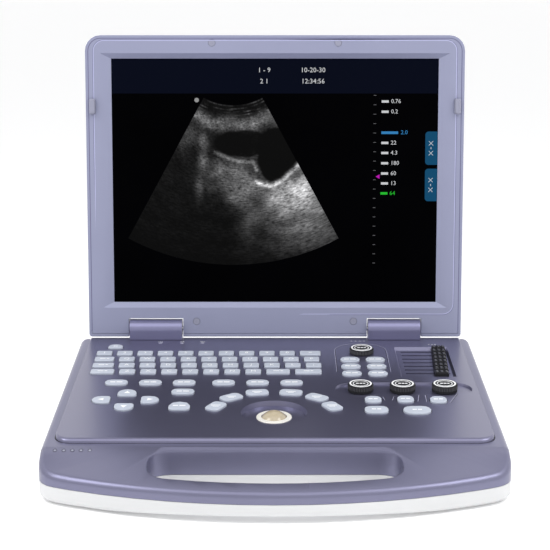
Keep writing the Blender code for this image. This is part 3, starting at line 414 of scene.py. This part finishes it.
for i in range(9):
    for j in range(3):
        x = board_low.x * 1000 + 18 + i * 27
        y = board_low.y * 1000 + 12 + j * 24
        wide = 6 + 5 * ((i * 3 + j * 5) % 4) / 3
        tall = 1.2 + 0.4 * ((i + j) % 3)
        if math.hypot(x - ball_centre.x * 1000, y - ball_centre.y * 1000) < BALL_ROOM + wide:
            continue
        deep = wide * 0.7
        slab(chips, (x - wide, y - deep, board_top - 0.02), (x + wide, y + deep, board_top + tall))
made("board_chips", chips, socket_black, "base")


# ---------------------------------------------------------------------------
# Control deck. A one-piece ABS panel in dark violet gloss lacquer, with a
# rolled front edge, wells for the knobs and a tray for the gain sliders; thin
# lines are printed and engraved round the groups of controls; the engraved
# lines are drawn as a dark strip of painted shade beside a light strip of painted highlight.
deck_lacquer = moulding("deck_lacquer", (0.174, 0.171, 0.266), (0.196, 0.193, 0.296), 0.35,
                        grain=5200, depth=0.03, cloud=6, coat=0.5, metal=0.78)
deck_lacquer.node_tree.nodes["Principled BSDF"].inputs["Coat Roughness"].default_value = 0.25
finished("control_panel", deck_lacquer, "base", edge=0.2, angle=35)


def ribbon(bm, points, width, low, high, place, closed=False):
    """A flat printed or engraved line of even width along points, in millimetres."""
    count = len(points)
    rings = []
    for i, (x, y) in enumerate(points):
        before = points[i - 1] if closed or i else points[i]
        after = points[(i + 1) % count] if closed or i < count - 1 else points[i]
        along = Vector((after[0] - before[0], after[1] - before[1])).normalized()
        across = Vector((-along.y, along.x)) * width / 2
        ring = []
        for side, height in ((-1, low), (1, low), (1, high), (-1, high)):
            corner = Vector((x + side * across.x, y + side * across.y, height))
            ring.append(bm.verts.new(place @ (corner * MM)))
        rings.append(ring)
    for i in range(count if closed else count - 1):
        first, second = rings[i], rings[(i + 1) % count]
        for k in range(4):
            bm.faces.new((first[k], first[(k + 1) % 4], second[(k + 1) % 4], second[k]))
    if not closed:
        bm.faces.new(rings[0])
        bm.faces.new(rings[-1][::-1])


def arc(cx, cy, radius, start, stop, steps=8):
    """Points on an arc, in degrees, anticlockwise or clockwise."""
    turns = [math.radians(start + (stop - start) * k / steps) for k in range(steps + 1)]
    return [(cx + radius * math.cos(a), cy + radius * math.sin(a)) for a in turns]


# Each engraved line is a dark strip of painted shade for its groove beside a light strip of painted highlight
# along its edge; the light colour also serves the lamp rings.
line_highlight_and_ring_grey = moulding("line_highlight_and_ring_grey", (0.30, 0.30, 0.42), (0.36, 0.36, 0.48), 0.35)
painted_line_shade = moulding("painted_line_shade", (0.014, 0.014, 0.024), (0.022, 0.022, 0.034), 0.5)
groove_highlight_lines = bmesh.new()
groove_shade_lines = bmesh.new()
for lines, radius, height in ((groove_highlight_lines, 21.0, 0.06), (groove_shade_lines, 20.4, 0.03)):
    arch = arc(76.0, -41.0, radius, 180, 90) + arc(82.0, -41.0, radius, 90, 0)
    arch = [(76.0 - radius, -99.0)] + arch + [(82.0 + radius, -99.0)]
    ribbon(lines, arch, 0.45, -0.15, height, DECK)
for line in (((91.5, -162), (92.9, -171)), ((101.0, -162), (99.0, -171)), ((122.6, -158), (120.3, -174)),
             ((127.9, -158), (127.6, -174.5)), ((146.9, -177), (155.3, -155))):
    ribbon(groove_highlight_lines, list(line), 0.55, -0.15, 0.04, DECK)
    ribbon(groove_shade_lines, [(x + 0.6, y) for x, y in line], 0.5, -0.15, 0.03, DECK)
for x in (67.3, 71.6, 76.2):
    slab(groove_shade_lines, (x - 0.8, -157.0, -0.1), (x + 0.8, -156.2, 0.05), DECK)
made("deck_groove_highlight", groove_highlight_lines, line_highlight_and_ring_grey, "base")
made("deck_groove_shade", groove_shade_lines, painted_line_shade, "base")

# A thin dark strip lies in the gap between the deck and the frame: painted shade along the seam.
deck_seam_shade = bmesh.new()
seam_shade_path = arc(162.0, -245.0, 13.25, 0, -90) + arc(-162.0, -245.0, 13.25, -90, -180)
seam_shade_path = [(175.25, -8.0)] + seam_shade_path + [(-175.25, -8.0)]
ribbon(deck_seam_shade, seam_shade_path, 0.7, -4.3, -3.42, DECK)
made("deck_seam_shade", deck_seam_shade, painted_line_shade, "base")

# Three small lamps near the hinge, each under a tiny printed mark.
lamp_rings = bmesh.new()
lamps = bmesh.new()
marks = bmesh.new()
for x in (-107.7, -87.4, -68.1):
    seat = at(DECK, x, -18.2)
    spun(lamp_rings, [(1.3, 0.12), (1.8, 0.12), (1.9, -0.2), (1.2, -0.2)], seat, 20, ring=True)
    spun(lamps, [(0, 0.35), (0.6, 0.3), (1.0, 0.1), (1.05, -0.2), (0, -0.2)], seat, 16)
    for k in (-1, 0, 1):
        slab(marks, (x + k * 1.5 - 0.5, -14.6, -0.1), (x + k * 1.5 + 0.5, -13.7, 0.04), DECK)
for x, y in ((72, -12), (76, -12), (80, -12), (84, -12), (144, -22), (147, -22), (150, -22)):
    slab(marks, (x - 0.7, y - 0.4, -0.1), (x + 0.7, y + 0.4, 0.04), DECK)
white_ink = moulding("white_ink", (0.86, 0.87, 0.89), (0.92, 0.93, 0.94), 0.5, depth=0.1)
made("lamp_rings", lamp_rings, line_highlight_and_ring_grey, "base")
made("lamp_lenses", lamps, lens_plastic, "base")
made("deck_marks", marks, white_ink, "base")


# ---------------------------------------------------------------------------
# Keyboard mat. One silicone rubber mat lies under the deck and its pale caps
# come up through the holes; legends are printed in white before the matte
# top coat is sprayed on.
silicone = moulding("silicone", (0.44, 0.48, 0.56), (0.50, 0.54, 0.63), 0.5, grain=1500, depth=0.2, cloud=60)
rubber = silicone.node_tree.nodes["Principled BSDF"]
rubber.inputs["Subsurface Weight"].default_value = 0.15
rubber.inputs["Subsurface Radius"].default_value = (0.002, 0.002, 0.002)
rubber.inputs["Sheen Weight"].default_value = 0.15
finished("keypad_mat", silicone, "base", edge=0.3, angle=40)


def cap_tops(node):
    """Centre and height of each key top on the node, in deck millimetres."""
    flat = DECK.inverted()
    bm = bmesh.new()
    bm.from_mesh(frame["nodes"][node].data)
    bmesh.ops.remove_doubles(bm, verts=bm.verts, dist=2e-6)
    for v in bm.verts:
        v.co = flat @ v.co * 1000
    peak = max(v.co.z for v in bm.verts)
    waiting = {f for f in bm.faces if f.normal.z > 0.9 and f.calc_center_median().z > peak - 0.25}
    tops = []
    while waiting:
        island, edge = [], [waiting.pop()]
        while edge:
            face = edge.pop()
            island.append(face)
            for side in face.edges:
                for other in side.link_faces:
                    if other in waiting:
                        waiting.discard(other)
                        edge.append(other)
        xs = [v.co.x for f in island for v in f.verts]
        ys = [v.co.y for f in island for v in f.verts]
        tops.append(((min(xs) + max(xs)) / 2, (min(ys) + max(ys)) / 2, peak))
    bm.free()
    return sorted(tops, key=lambda top: (-round(top[1]), top[0]))


glyphs = {}


def figures(bm, text, place, height, align="CENTER"):
    """Plain printed characters of one height, as thin solids, in millimetres."""
    if (text, align) not in glyphs:
        curve = bpy.data.curves.new("figures", "FONT")
        curve.body = text
        curve.size = 1.38  # makes the capitals one unit high
        curve.extrude = 0.5
        curve.align_x = align
        curve.align_y = "CENTER"
        curve.resolution_u = 2
        holder = bpy.data.objects.new("figures", curve)
        bpy.context.scene.collection.objects.link(holder)
        bpy.context.view_layer.update()
        set_type = holder.evaluated_get(bpy.context.evaluated_depsgraph_get())
        glyphs[(text, align)] = bpy.data.meshes.new_from_object(set_type)
        bpy.data.objects.remove(holder)
    drawn = bmesh.new()
    drawn.from_mesh(glyphs[(text, align)])
    bmesh.ops.remove_doubles(drawn, verts=drawn.verts, dist=1e-5)
    drawn.transform(place @ Matrix.Diagonal((height * MM, height * MM, 0.06 * MM, 1)))
    copy = bpy.data.meshes.new("copy")
    drawn.to_mesh(copy)
    drawn.free()
    bm.from_mesh(copy)
    bpy.data.meshes.remove(copy)


# The four rows of letter keys get plain characters; a dash stands for a key
# that only has bars, as every other cap of the mat has.
LETTERS_RIGHT, LETTERS_FRONT = 50, -112
letter_rows = ("1234567890=", "-QWERTYUIOP", "-ASDFGHJKL;", "-ZXCVBNM--")
legends = bmesh.new()
tops = cap_tops("keypad_mat")
letters = [top for top in tops if top[0] < LETTERS_RIGHT and top[1] > LETTERS_FRONT]
rows = {}
for top in letters:
    rows.setdefault(round(top[1] / 4), []).append(top)
for characters, row in zip(letter_rows, [rows[k] for k in sorted(rows, reverse=True)]):
    for character, (x, y, high) in zip(characters, sorted(row)):
        if character == "-":
            slab(legends, (x - 4.2, y - 0.5, high - 0.05), (x + 1.0, y + 0.9, high + 0.05), DECK)
            slab(legends, (x + 2.0, y - 0.5, high - 0.05), (x + 4.4, y + 0.9, high + 0.05), DECK)
        else:
            figures(legends, character, at(DECK, x, y, high + 0.03), 4.6)
for x, y, high in tops:
    if (x, y, high) in letters:
        continue
    for left, right in ((-5.4, -0.9), (0.1, 5.2)):
        slab(legends, (x + left, y - 1.1, high - 0.05), (x + right, y + 0.9, high + 0.05), DECK)
made("mat_legends", legends, white_ink, "base")


# ---------------------------------------------------------------------------
# Single keys. The power key, the four arrows and the keys round the trackball
# and under the knobs are separate caps, each on its own small return spring.
def plate(bm, outline, low, high, place):
    """A flat piece with the outline, anticlockwise, between two heights in millimetres."""
    lower = [bm.verts.new(place @ (Vector((x, y, low)) * MM)) for x, y in outline]
    upper = [bm.verts.new(place @ (Vector((x, y, high)) * MM)) for x, y in outline]
    bm.faces.new(lower[::-1])
    bm.faces.new(upper)
    for i in range(len(outline)):
        j = (i + 1) % len(outline)
        bm.faces.new((lower[i], lower[j], upper[j], upper[i]))


arrow_turns = {"arrow_up": 0, "arrow_left": 90, "arrow_down": 180, "arrow_right": 270}
for name in frame["bodies"]:
    if not name.startswith(("power", "arrow", "arc_key", "aux_key")):
        continue
    finished(name, silicone, name, edge=0.3, angle=40)
    seat = at(DECK, *cap_tops(name)[0])
    mark = bmesh.new()
    if name in arrow_turns:
        turned = seat @ Matrix.Rotation(math.radians(arrow_turns[name]), 4, "Z")
        plate(mark, ((-2.7, -2.2), (2.7, -2.2), (0, 2.8)), -0.05, 0.06, turned)
    elif name == "power_button":
        ribbon(mark, arc(0, -0.3, 1.7, 115, 425, 14), 0.5, -0.05, 0.06, seat)
        slab(mark, (-0.25, 0.2, -0.05), (0.25, 2.1, 0.06), seat)
    elif name.startswith("arc"):
        slab(mark, (-4.2, 0.2, -0.05), (4.0, 1.5, 0.05), seat)
        slab(mark, (-2.6, -2.4, -0.05), (2.4, -1.3, 0.05), seat)
    else:
        slab(mark, (-4.0, -0.6, -0.05), (-0.4, 1.2, 0.05), seat)
        slab(mark, (0.5, -0.6, -0.05), (3.8, 1.2, 0.05), seat)
    made(name + "_mark", mark, white_ink, name)


# ---------------------------------------------------------------------------
# Rotary knobs. Four black knobs with a soft-touch coat, pushed on their
# encoder shafts; each top has two white printed rings round a raised label
# disc, and fine grips run round the side. The grips are a lighter grey than
# the black top: painted sheen of the light along the side.
soft_black = moulding("soft_black", (0.022, 0.022, 0.025), (0.034, 0.034, 0.038), 0.62,
                      grain=1500, depth=0.35, specular=0.03)
# The side's grey is lighter than the top: painted sheen.
knob_side_painted_sheen = moulding("knob_side_painted_sheen", (0.075, 0.074, 0.080), (0.10, 0.099, 0.105), 0.5, grain=1500, depth=0.35)
KNOB_RADIUS, GRIPS = 11.0, 48
for name in ("knob_menu", "knob_1", "knob_2", "knob_3"):
    finished(name, soft_black, name, edge=0.2, angle=40)
    pivot = DECK.inverted() @ Vector(joints[name + "_turn"]["pos_m"])
    seat = DECK @ Matrix.Translation((pivot.x, pivot.y, 0))
    rings = bmesh.new()
    for outer, inner in ((9.7, 8.2), (6.7, 6.1)):
        spun(rings, [(inner, 5.07), (outer, 5.07), (outer, 4.5), (inner, 4.5)], seat, 48, ring=True)
    made(name + "_rings", rings, white_ink, name)
    label = bmesh.new()
    spun(label, [(0, 4.98), (5.4, 4.98), (5.8, 4.85), (5.8, 4.4), (0, 4.4)], seat, 40)
    made(name + "_label", label, soft_black, name)
    bars = bmesh.new()
    for left, right in ((-4.0, -1.5), (-0.9, 1.5), (2.1, 4.0)):
        slab(bars, (left, -0.9, 4.9), (right, 1.0, 5.06), seat)
    made(name + "_words", bars, white_ink, name)
    grips = bmesh.new()
    for k in range(GRIPS):
        turned = seat @ Matrix.Rotation(2 * math.pi * k / GRIPS, 4, "Z")
        slab(grips, (KNOB_RADIUS - 0.35, -0.28, 1.0), (KNOB_RADIUS + 0.12, 0.28, 4.0), turned)
    made(name + "_grips", grips, knob_side_painted_sheen, name)


# ---------------------------------------------------------------------------
# Gain sliders. Eight glossy black caps on flat stems in the tray's slots, one
# for each depth; six small pads on each cap give the fingertip a hold. The
# pads are a lighter grey than the caps: painted glints, on top of their real gloss.
slider_black = moulding("slider_black", (0.014, 0.014, 0.016), (0.024, 0.024, 0.027), 0.40,
                        grain=2500, depth=0.1, specular=0.06)
# A lighter grey than the caps: painted glints on the pads, besides their real gloss.
slider_pad_painted_glint = moulding("slider_pad_painted_glint", (0.05, 0.05, 0.055), (0.075, 0.075, 0.08), 0.12,
                        grain=2500, depth=0.1, coat=0.8)
for n in range(1, 9):
    name = "tgc_slider_%d" % n
    finished(name, slider_black, name, edge=0.3)
    cap_low, cap_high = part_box(name)
    centre = DECK.inverted() @ ((cap_low + cap_high) / 2)
    tip = DECK @ Matrix.Translation((centre.x, centre.y, 0))
    ribs = bmesh.new()
    for x in (-4.2, 0.0, 4.2):
        for y in (-1.6, 1.6):
            slab(ribs, (x - 0.9, y - 0.7, 2.4), (x + 0.9, y + 0.7, 3.15), tip)
    made(name + "_ribs", ribs, slider_pad_painted_glint, name, edge=0.3)


# ---------------------------------------------------------------------------
# Trackball. A cream phenolic ball, polished, held down by a snap-in ivory ring
# at the bottom of the dish; it rolls on three small bearings underneath.
ivory = moulding("ivory_plastic", (0.80, 0.78, 0.72), (0.86, 0.84, 0.79), 0.3,
                 grain=2000, depth=0.1, coat=0.3)
cream = moulding("cream_resin", (0.43, 0.36, 0.245), (0.50, 0.425, 0.30), 0.22,
                 grain=900, depth=0.02, cloud=220, coat=0.7)
finished("trackball_ring", ivory, "base", edge=0.2)
ball_low, ball_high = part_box("trackball")
ball = bmesh.new()
bmesh.ops.create_icosphere(ball, subdivisions=4, radius=(ball_high.x - ball_low.x) / 2,
                           matrix=Matrix.Translation(ball_centre))
sphere = made("trackball_polished", ball, cream, "trackball")
for face in sphere.data.polygons:
    face.use_smooth = True
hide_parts("trackball")


# ---------------------------------------------------------------------------
# Hinge covers and arms. Two darker violet covers on the deck hold the steel
# pins; the lid's zinc arms turn on them with enough friction to stay put.
hinge_lacquer = moulding("hinge_lacquer", (0.230, 0.228, 0.365), (0.258, 0.255, 0.400), 0.34,
                         grain=4200, depth=0.04, metal=0.7)
for side in ("left", "right"):
    finished("hinge_cover_" + side, hinge_lacquer, "base", edge=0.3)
    arm = frame["nodes"]["hinge_arm_" + side]
    arm.data.materials.clear()
    arm.data.materials.append(zinc)


# ---------------------------------------------------------------------------
# Lid shell. A deep ABS back cover in light violet satin lacquer, closed in
# front by a flat bezel of the same finish; a fine groove runs round the bezel
# just inside the rim, where the two mouldings meet. It is drawn as dark strips
# of painted shade, along the groove and along the rim's seam, with a light
# strip of painted highlight beside the groove.
lid_lacquer = moulding("lid_lacquer", (0.262, 0.275, 0.395), (0.292, 0.305, 0.430), 0.40,
                       grain=4600, depth=0.05, cloud=6, metal=0.4)
finished("lid_back_cover", lid_lacquer, "lid", edge=0.35)
finished("lid_bezel", lid_lacquer, "lid", edge=0.3)
LEAN = math.radians(4.33)  # how far the open lid leans back from upright
LID = Matrix((
    (1, 0, 0, hinge_line.x),
    (0, math.sin(LEAN), -math.cos(LEAN), hinge_line.y),
    (0, math.cos(LEAN), math.sin(LEAN), hinge_line.z),
    (0, 0, 0, 1)))


def face_of(node):
    """How far the node's front face stands forward of the hinge line, in millimetres."""
    flat = LID.inverted()
    return max((flat @ v.co).z for v in frame["nodes"][node].data.vertices) * 1000


def round_rectangle(half, foot, top, radius):
    """Points round a rectangle with round corners, as wide to the left as to the right."""
    corners = ((half - radius, top - radius, 0), (radius - half, top - radius, 90),
               (radius - half, foot + radius, 180), (half - radius, foot + radius, 270))
    points = []
    for cx, cy, start in corners:
        points += arc(cx, cy, radius, start, start + 90)
    return points


bezel_face = face_of("lid_bezel")
# Dark strips of painted shade along the groove and the rim's seam, and a light strip of painted highlight
# just inside the groove.
groove_shade_strips = bmesh.new()
groove_path = round_rectangle(168.9, 13.6, 270.8, 10.5)
ribbon(groove_shade_strips, groove_path, 0.45, bezel_face - 0.2, bezel_face + 0.03, LID, closed=True)
rim_seam = arc(161.4, 260.4, 11.8, 0, 90) + arc(-161.4, 260.4, 11.8, 90, 180)
rim_seam = [(173.2, -2.0)] + rim_seam + [(-173.2, -2.0)]
ribbon(groove_shade_strips, rim_seam, 0.8, bezel_face - 0.3, bezel_face + 0.02, LID)
painted_glint_strip = bmesh.new()
painted_glint_path = round_rectangle(168.3, 14.2, 270.2, 9.9)
ribbon(painted_glint_strip, painted_glint_path, 0.55, bezel_face - 0.2, bezel_face + 0.05, LID, closed=True)
groove_shadow = moulding("groove_shadow", (0.10, 0.10, 0.19), (0.13, 0.13, 0.23), 0.6)
painted_edge_glint = moulding("painted_edge_glint", (0.42, 0.43, 0.66), (0.48, 0.49, 0.72), 0.3)
made("bezel_groove_shade", groove_shade_strips, groove_shadow, "lid")
made("bezel_painted_glint", painted_glint_strip, painted_edge_glint, "lid")

# Grey caps hide the bezel's four screws, and two soft bumpers end just above
# the deck's edge when the lid is shut.
cap_grey = moulding("cap_grey", (0.22, 0.225, 0.30), (0.27, 0.275, 0.36), 0.55, grain=1500, depth=0.25)
for n in (1, 2, 3, 4):
    finished("screw_cap_%d" % n, cap_grey, "lid", edge=0.2)
for side in ("left", "right"):
    finished("bumper_" + side, cap_grey, "lid", edge=0.4)


# ---------------------------------------------------------------------------
# Display. A 15 inch liquid crystal panel with a matte anti-glare face, showing
# a sector scan, a depth scale, a column of settings and two soft buttons.
screen_face = face_of("lcd_panel")
panel_black = moulding("panel_black", (0.0006, 0.0006, 0.0008), (0.0010, 0.0010, 0.0014), 0.5,
                       grain=2500, depth=0.02, specular=0.0)
finished("lcd_panel", panel_black, "lid", edge=0.15)
PICTURE_FOOT = 25.4  # from the hinge line up the lid to the picture
SCREEN = at(LID, 0, PICTURE_FOOT, screen_face)


def lit(name, colour):
    """A lit area of the picture; its brightness wavers slightly from spot to spot."""
    look = bpy.data.materials.new(name)
    look.use_nodes = True
    nodes, links = look.node_tree.nodes, look.node_tree.links
    skin = nodes["Principled BSDF"]
    skin.inputs["Base Color"].default_value = (0.002, 0.002, 0.002, 1)
    skin.inputs["Roughness"].default_value = 0.5
    skin.inputs["Specular IOR Level"].default_value = 0.0
    skin.inputs["Emission Strength"].default_value = 1.0
    where = nodes.new("ShaderNodeTexCoord")
    cells = nodes.new("ShaderNodeTexNoise")
    cells.inputs["Scale"].default_value = 900.0
    links.new(where.outputs["Object"], cells.inputs["Vector"])
    ramp = two_tone(nodes, [c * 0.92 for c in colour], colour)
    links.new(cells.outputs["Fac"], ramp.inputs["Fac"])
    links.new(ramp.outputs["Color"], skin.inputs["Emission Color"])
    return look


band = bmesh.new()
slab(band, (-151.9, 196.0, -0.05), (151.9, 228.0, 0.04), SCREEN)
made("picture_band", band, lit("band_navy", (0.0006, 0.0018, 0.0085)), "lid")

# The scan is a sector with its point above the picture. Its tissue and fluid
# are soft ovals: centre, half width, half height, strength.
APEX = (-39.2, 242.2)
NEAR = 57.0
FAR = 207.0
SPREAD = 28.6  # degrees to each side
WALL_LINE = ((-56, 141.3), (-45, 136.0), (-34, 132.8), (-20, 132.0), (-17.5, 124.5))
FAR_WALL = ((-17.0, 113.0), (-4.0, 109.2), (7.2, 114.6), (19.5, 126.5), (26, 133.0))
FLUID = ((-29.5, 149.5, 27, 12.5, 0.90), (2.5, 134.0, 19, 22, 0.97),
         (8.0, 151.0, 24, 15, 0.93), (24.0, 146.0, 18, 15, 0.93))
TISSUE = ((10, 98, 18, 13, 0.42), (28, 108, 16, 17, 0.45), (26, 82, 30, 26, 0.20), (44, 62, 24, 20, 0.08),
          (-42, 121, 21, 13, 0.13), (-29, 106, 15, 12, 0.12), (-24, 83, 9, 20, 0.06), (-38, 98, 8, 5, 0.10),
          (-67, 151, 4.5, 12, 0.07), (-67, 132, 4.5, 8, 0.12), (-71, 107, 4.0, 9, 0.07),
          (-83, 158, 13, 13, 0.05))


def clamped(value):
    """The value, kept between 0 and 1."""
    return max(0.0, min(1.0, value))


def clouds(a, b, c):
    """Smooth noise between -1 and 1 at a point."""
    return noise.noise(Vector((a, b, c)))


def nearness(x, y, line, width):
    """1 on a bent line, falling off smoothly to either side of it."""
    gap = 99.0
    for (ax, ay), (bx, by) in zip(line, line[1:]):
        length = (bx - ax) ** 2 + (by - ay) ** 2
        share = clamped(((x - ax) * (bx - ax) + (y - ay) * (by - ay)) / length)
        gap = min(gap, math.hypot(x - ax - share * (bx - ax), y - ay - share * (by - ay)))
    return math.exp(-(gap / width) ** 2)


def echo(x, y, depth, side):
    """Brightness of the scan at one spot: tissue layers, dark fluid, strong walls and speckle."""
    level = 0.006 + 0.020 * clamped((side + 0.05) / 0.5)
    for cx, cy, wide, tall, gain in TISSUE:
        spread = ((x - cx) / wide) ** 2 + ((y - cy) / tall) ** 2
        spread = max(0.0, spread + 0.45 * clouds(x * 0.11, y * 0.11, cx))
        level += gain * math.exp(-spread * 1.25)
    near = depth - NEAR
    layer = 12.0 + 3.0 * clouds(x * 0.06, 3.1, 0)
    if near < layer:
        bands = math.sin(near * 2.0 + 2.2 * clouds(x * 0.05, near * 0.2, 7))
        level = 0.004 + 0.09 * max(0.0, bands) ** 3 * max(0.0, clouds(x * 0.14, near * 0.5, 1) + 0.3)
    strip = (near - layer - 6.5) / 5.5
    level += 0.12 * math.exp(-strip * strip) * (1.0 + 0.7 * clouds(x * 0.10, y * 0.35, 2))
    rough = clouds(x * 0.10, y * 0.10, 9)
    for cx, cy, wide, tall, darkness in FLUID:
        spread = ((x - cx) / wide) ** 2 + ((y - cy) / tall) ** 2 + 0.22 * rough
        level *= 1 - darkness * clamped((1.10 - spread) / 0.22)
    level += 0.22 * nearness(x, y, WALL_LINE, 1.5) * (0.75 + 0.7 * rough)
    level += 0.55 * nearness(x, y, FAR_WALL, 2.0) * (0.85 + 0.6 * rough)
    level *= 1.0 + 0.75 * clouds(side * 5, depth * 0.10, 21)
    streak = clouds(side * 17, depth * 0.9, 11) + 0.6 * clouds(side * 42, depth * 1.8, 4)
    level *= max(0.15, 0.9 + 0.95 * streak)
    fade = clamped((FAR + 12 - depth) / 80.0)
    return max(0.0022, level * (0.25 + 0.75 * fade))


ACROSS, DOWN = ((180, 170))
scan = bmesh.new()
shade = scan.loops.layers.float_color.new("echo")
bright = {}
grid = []
for j in range(DOWN + 1):
    depth = NEAR + (FAR - NEAR) * j / DOWN
    line = []
    for i in range(ACROSS + 1):
        side = 2.0 * i / ACROSS - 1
        turn = math.radians(SPREAD) * side
        x = APEX[0] + depth * math.sin(turn)
        y = APEX[1] - depth * math.cos(turn)
        vertex = scan.verts.new(SCREEN @ (Vector((x, y, 0.05)) * MM))
        bright[vertex] = echo(x, y, depth, side)
        line.append(vertex)
    grid.append(line)
rim = grid[0][:-1] + [row[-1] for row in grid[:-1]] + grid[-1][:0:-1] + [row[0] for row in grid[:0:-1]]
under = {}
for vertex in rim:
    under[vertex] = scan.verts.new(vertex.co - (SCREEN.to_3x3() @ Vector((0, 0, 0.08 * MM))))
    bright[under[vertex]] = bright[vertex]
for upper, lower in zip(grid, grid[1:]):
    for i in range(ACROSS):
        scan.faces.new((upper[i], lower[i], lower[i + 1], upper[i + 1]))
for a, b in zip(rim, rim[1:] + rim[:1]):
    scan.faces.new((a, b, under[b], under[a]))
scan.faces.new([under[v] for v in rim][::-1])
for face in scan.faces:
    for loop in face.loops:
        level = bright[loop.vert]
        loop[shade] = (level, level, level * 1.02, 1)
scan_look = lit("scan_echo", (1, 1, 1))
tree = scan_look.node_tree
stored = tree.nodes.new("ShaderNodeVertexColor")
stored.layer_name = "echo"
mixed = tree.nodes.new("ShaderNodeVectorMath")
mixed.operation = "MULTIPLY"
ramp = tree.nodes["Color Ramp"]
ramp.color_ramp.elements[0].color = (0.45, 0.45, 0.45, 1)
ramp.color_ramp.elements[1].color = (1.55, 1.55, 1.55, 1)
tree.links.new(stored.outputs["Color"], mixed.inputs[0])
tree.links.new(ramp.outputs["Color"], mixed.inputs[1])
tree.links.new(mixed.outputs["Vector"], tree.nodes["Principled BSDF"].inputs["Emission Color"])
made("picture_scan", scan, scan_look, "lid")

TICK_PITCH = 8.74
ticks = bmesh.new()
for k in range(19):
    slab(ticks, (92.0, 194.1 - k * TICK_PITCH, -0.05), (94.4, 194.5 - k * TICK_PITCH, 0.04), SCREEN)
made("picture_scale", ticks, lit("scale_grey", (0.16, 0.16, 0.17)), "lid")
dot = bmesh.new()
spun(dot, [(0, 0.06), (2.1, 0.06), (2.1, -0.05), (0, -0.05)], at(SCREEN, -73.0, 189.9), 20)
made("picture_marker", dot, lit("marker_grey", (0.30, 0.30, 0.30)), "lid")

white_text = bmesh.new()
for text, x, y in (("1 - 9", -10.0, 217.5), ("10-20-30", 35.4, 217.5),
                   ("2 1", -10.0, 207.2), ("12:34:56", 35.4, 207.2)):
    figures(white_text, text, at(SCREEN, x, y, 0.03), 4.6)
for text, y in (("0.76", 188.7), ("0.2", 179.2), ("22", 150.2), ("4.3", 140.8),
                ("180", 131.2), ("60", 121.6), ("13", 112.3)):
    figures(white_text, text, at(SCREEN, 108.2, y, 0.03), 3.9, align="LEFT")
    slab(white_text, (99.4, y - 1.2, -0.05), (106.0, y + 1.0, 0.05), SCREEN)
made("picture_figures", white_text, lit("figure_white", (0.62, 0.63, 0.65)), "lid")
blue = bmesh.new()
slab(blue, (99.4, 158.4, -0.05), (115.0, 160.8, 0.05), SCREEN)
figures(blue, "2.0", at(SCREEN, 117.5, 159.8, 0.03), 3.9, align="LEFT")
made("picture_mode", blue, lit("mode_blue", (0.035, 0.22, 0.50)), "lid")
green = bmesh.new()
slab(green, (99.0, 101.7, -0.05), (105.6, 104.0, 0.05), SCREEN)
figures(green, "64", at(SCREEN, 107.4, 102.9, 0.03), 3.9, align="LEFT")
made("picture_range", green, lit("range_green", (0.02, 0.50, 0.03)), "lid")
focus = bmesh.new()
focus_place = at(SCREEN, 96.8, 118.6) @ Matrix.Rotation(math.pi, 4, "Z")
spun(focus, [(0, 0.05), (2.4, 0.05), (2.4, -0.05), (0, -0.05)], focus_place, 3)
made("picture_focus", focus, lit("focus_magenta", (0.50, 0.01, 0.45)), "lid")
tabs = bmesh.new()
icons = bmesh.new()
for low_y, high_y in ((129.6, 160.7), (95.5, 126.0)):
    outline = arc(143.6, high_y - 3, 3, 90, 180, 6) + arc(143.6, low_y + 3, 3, 180, 270, 6)
    plate(tabs, outline + [(151.9, low_y), (151.9, high_y)], -0.05, 0.04, SCREEN)
    middle_y = (low_y + high_y) / 2
    for y in (middle_y + 4.6, middle_y - 4.6):
        ribbon(icons, [(143.9, y - 2), (147.9, y + 2)], 0.5, -0.05, 0.07, SCREEN)
        ribbon(icons, [(147.9, y - 2), (143.9, y + 2)], 0.5, -0.05, 0.07, SCREEN)
    slab(icons, (145.6, middle_y - 0.9, -0.05), (146.3, middle_y + 0.9, 0.07), SCREEN)
made("picture_tabs", tabs, lit("tab_teal", (0.006, 0.070, 0.155)), "lid")
made("picture_icons", icons, lit("icon_white", (0.55, 0.60, 0.65)), "lid")
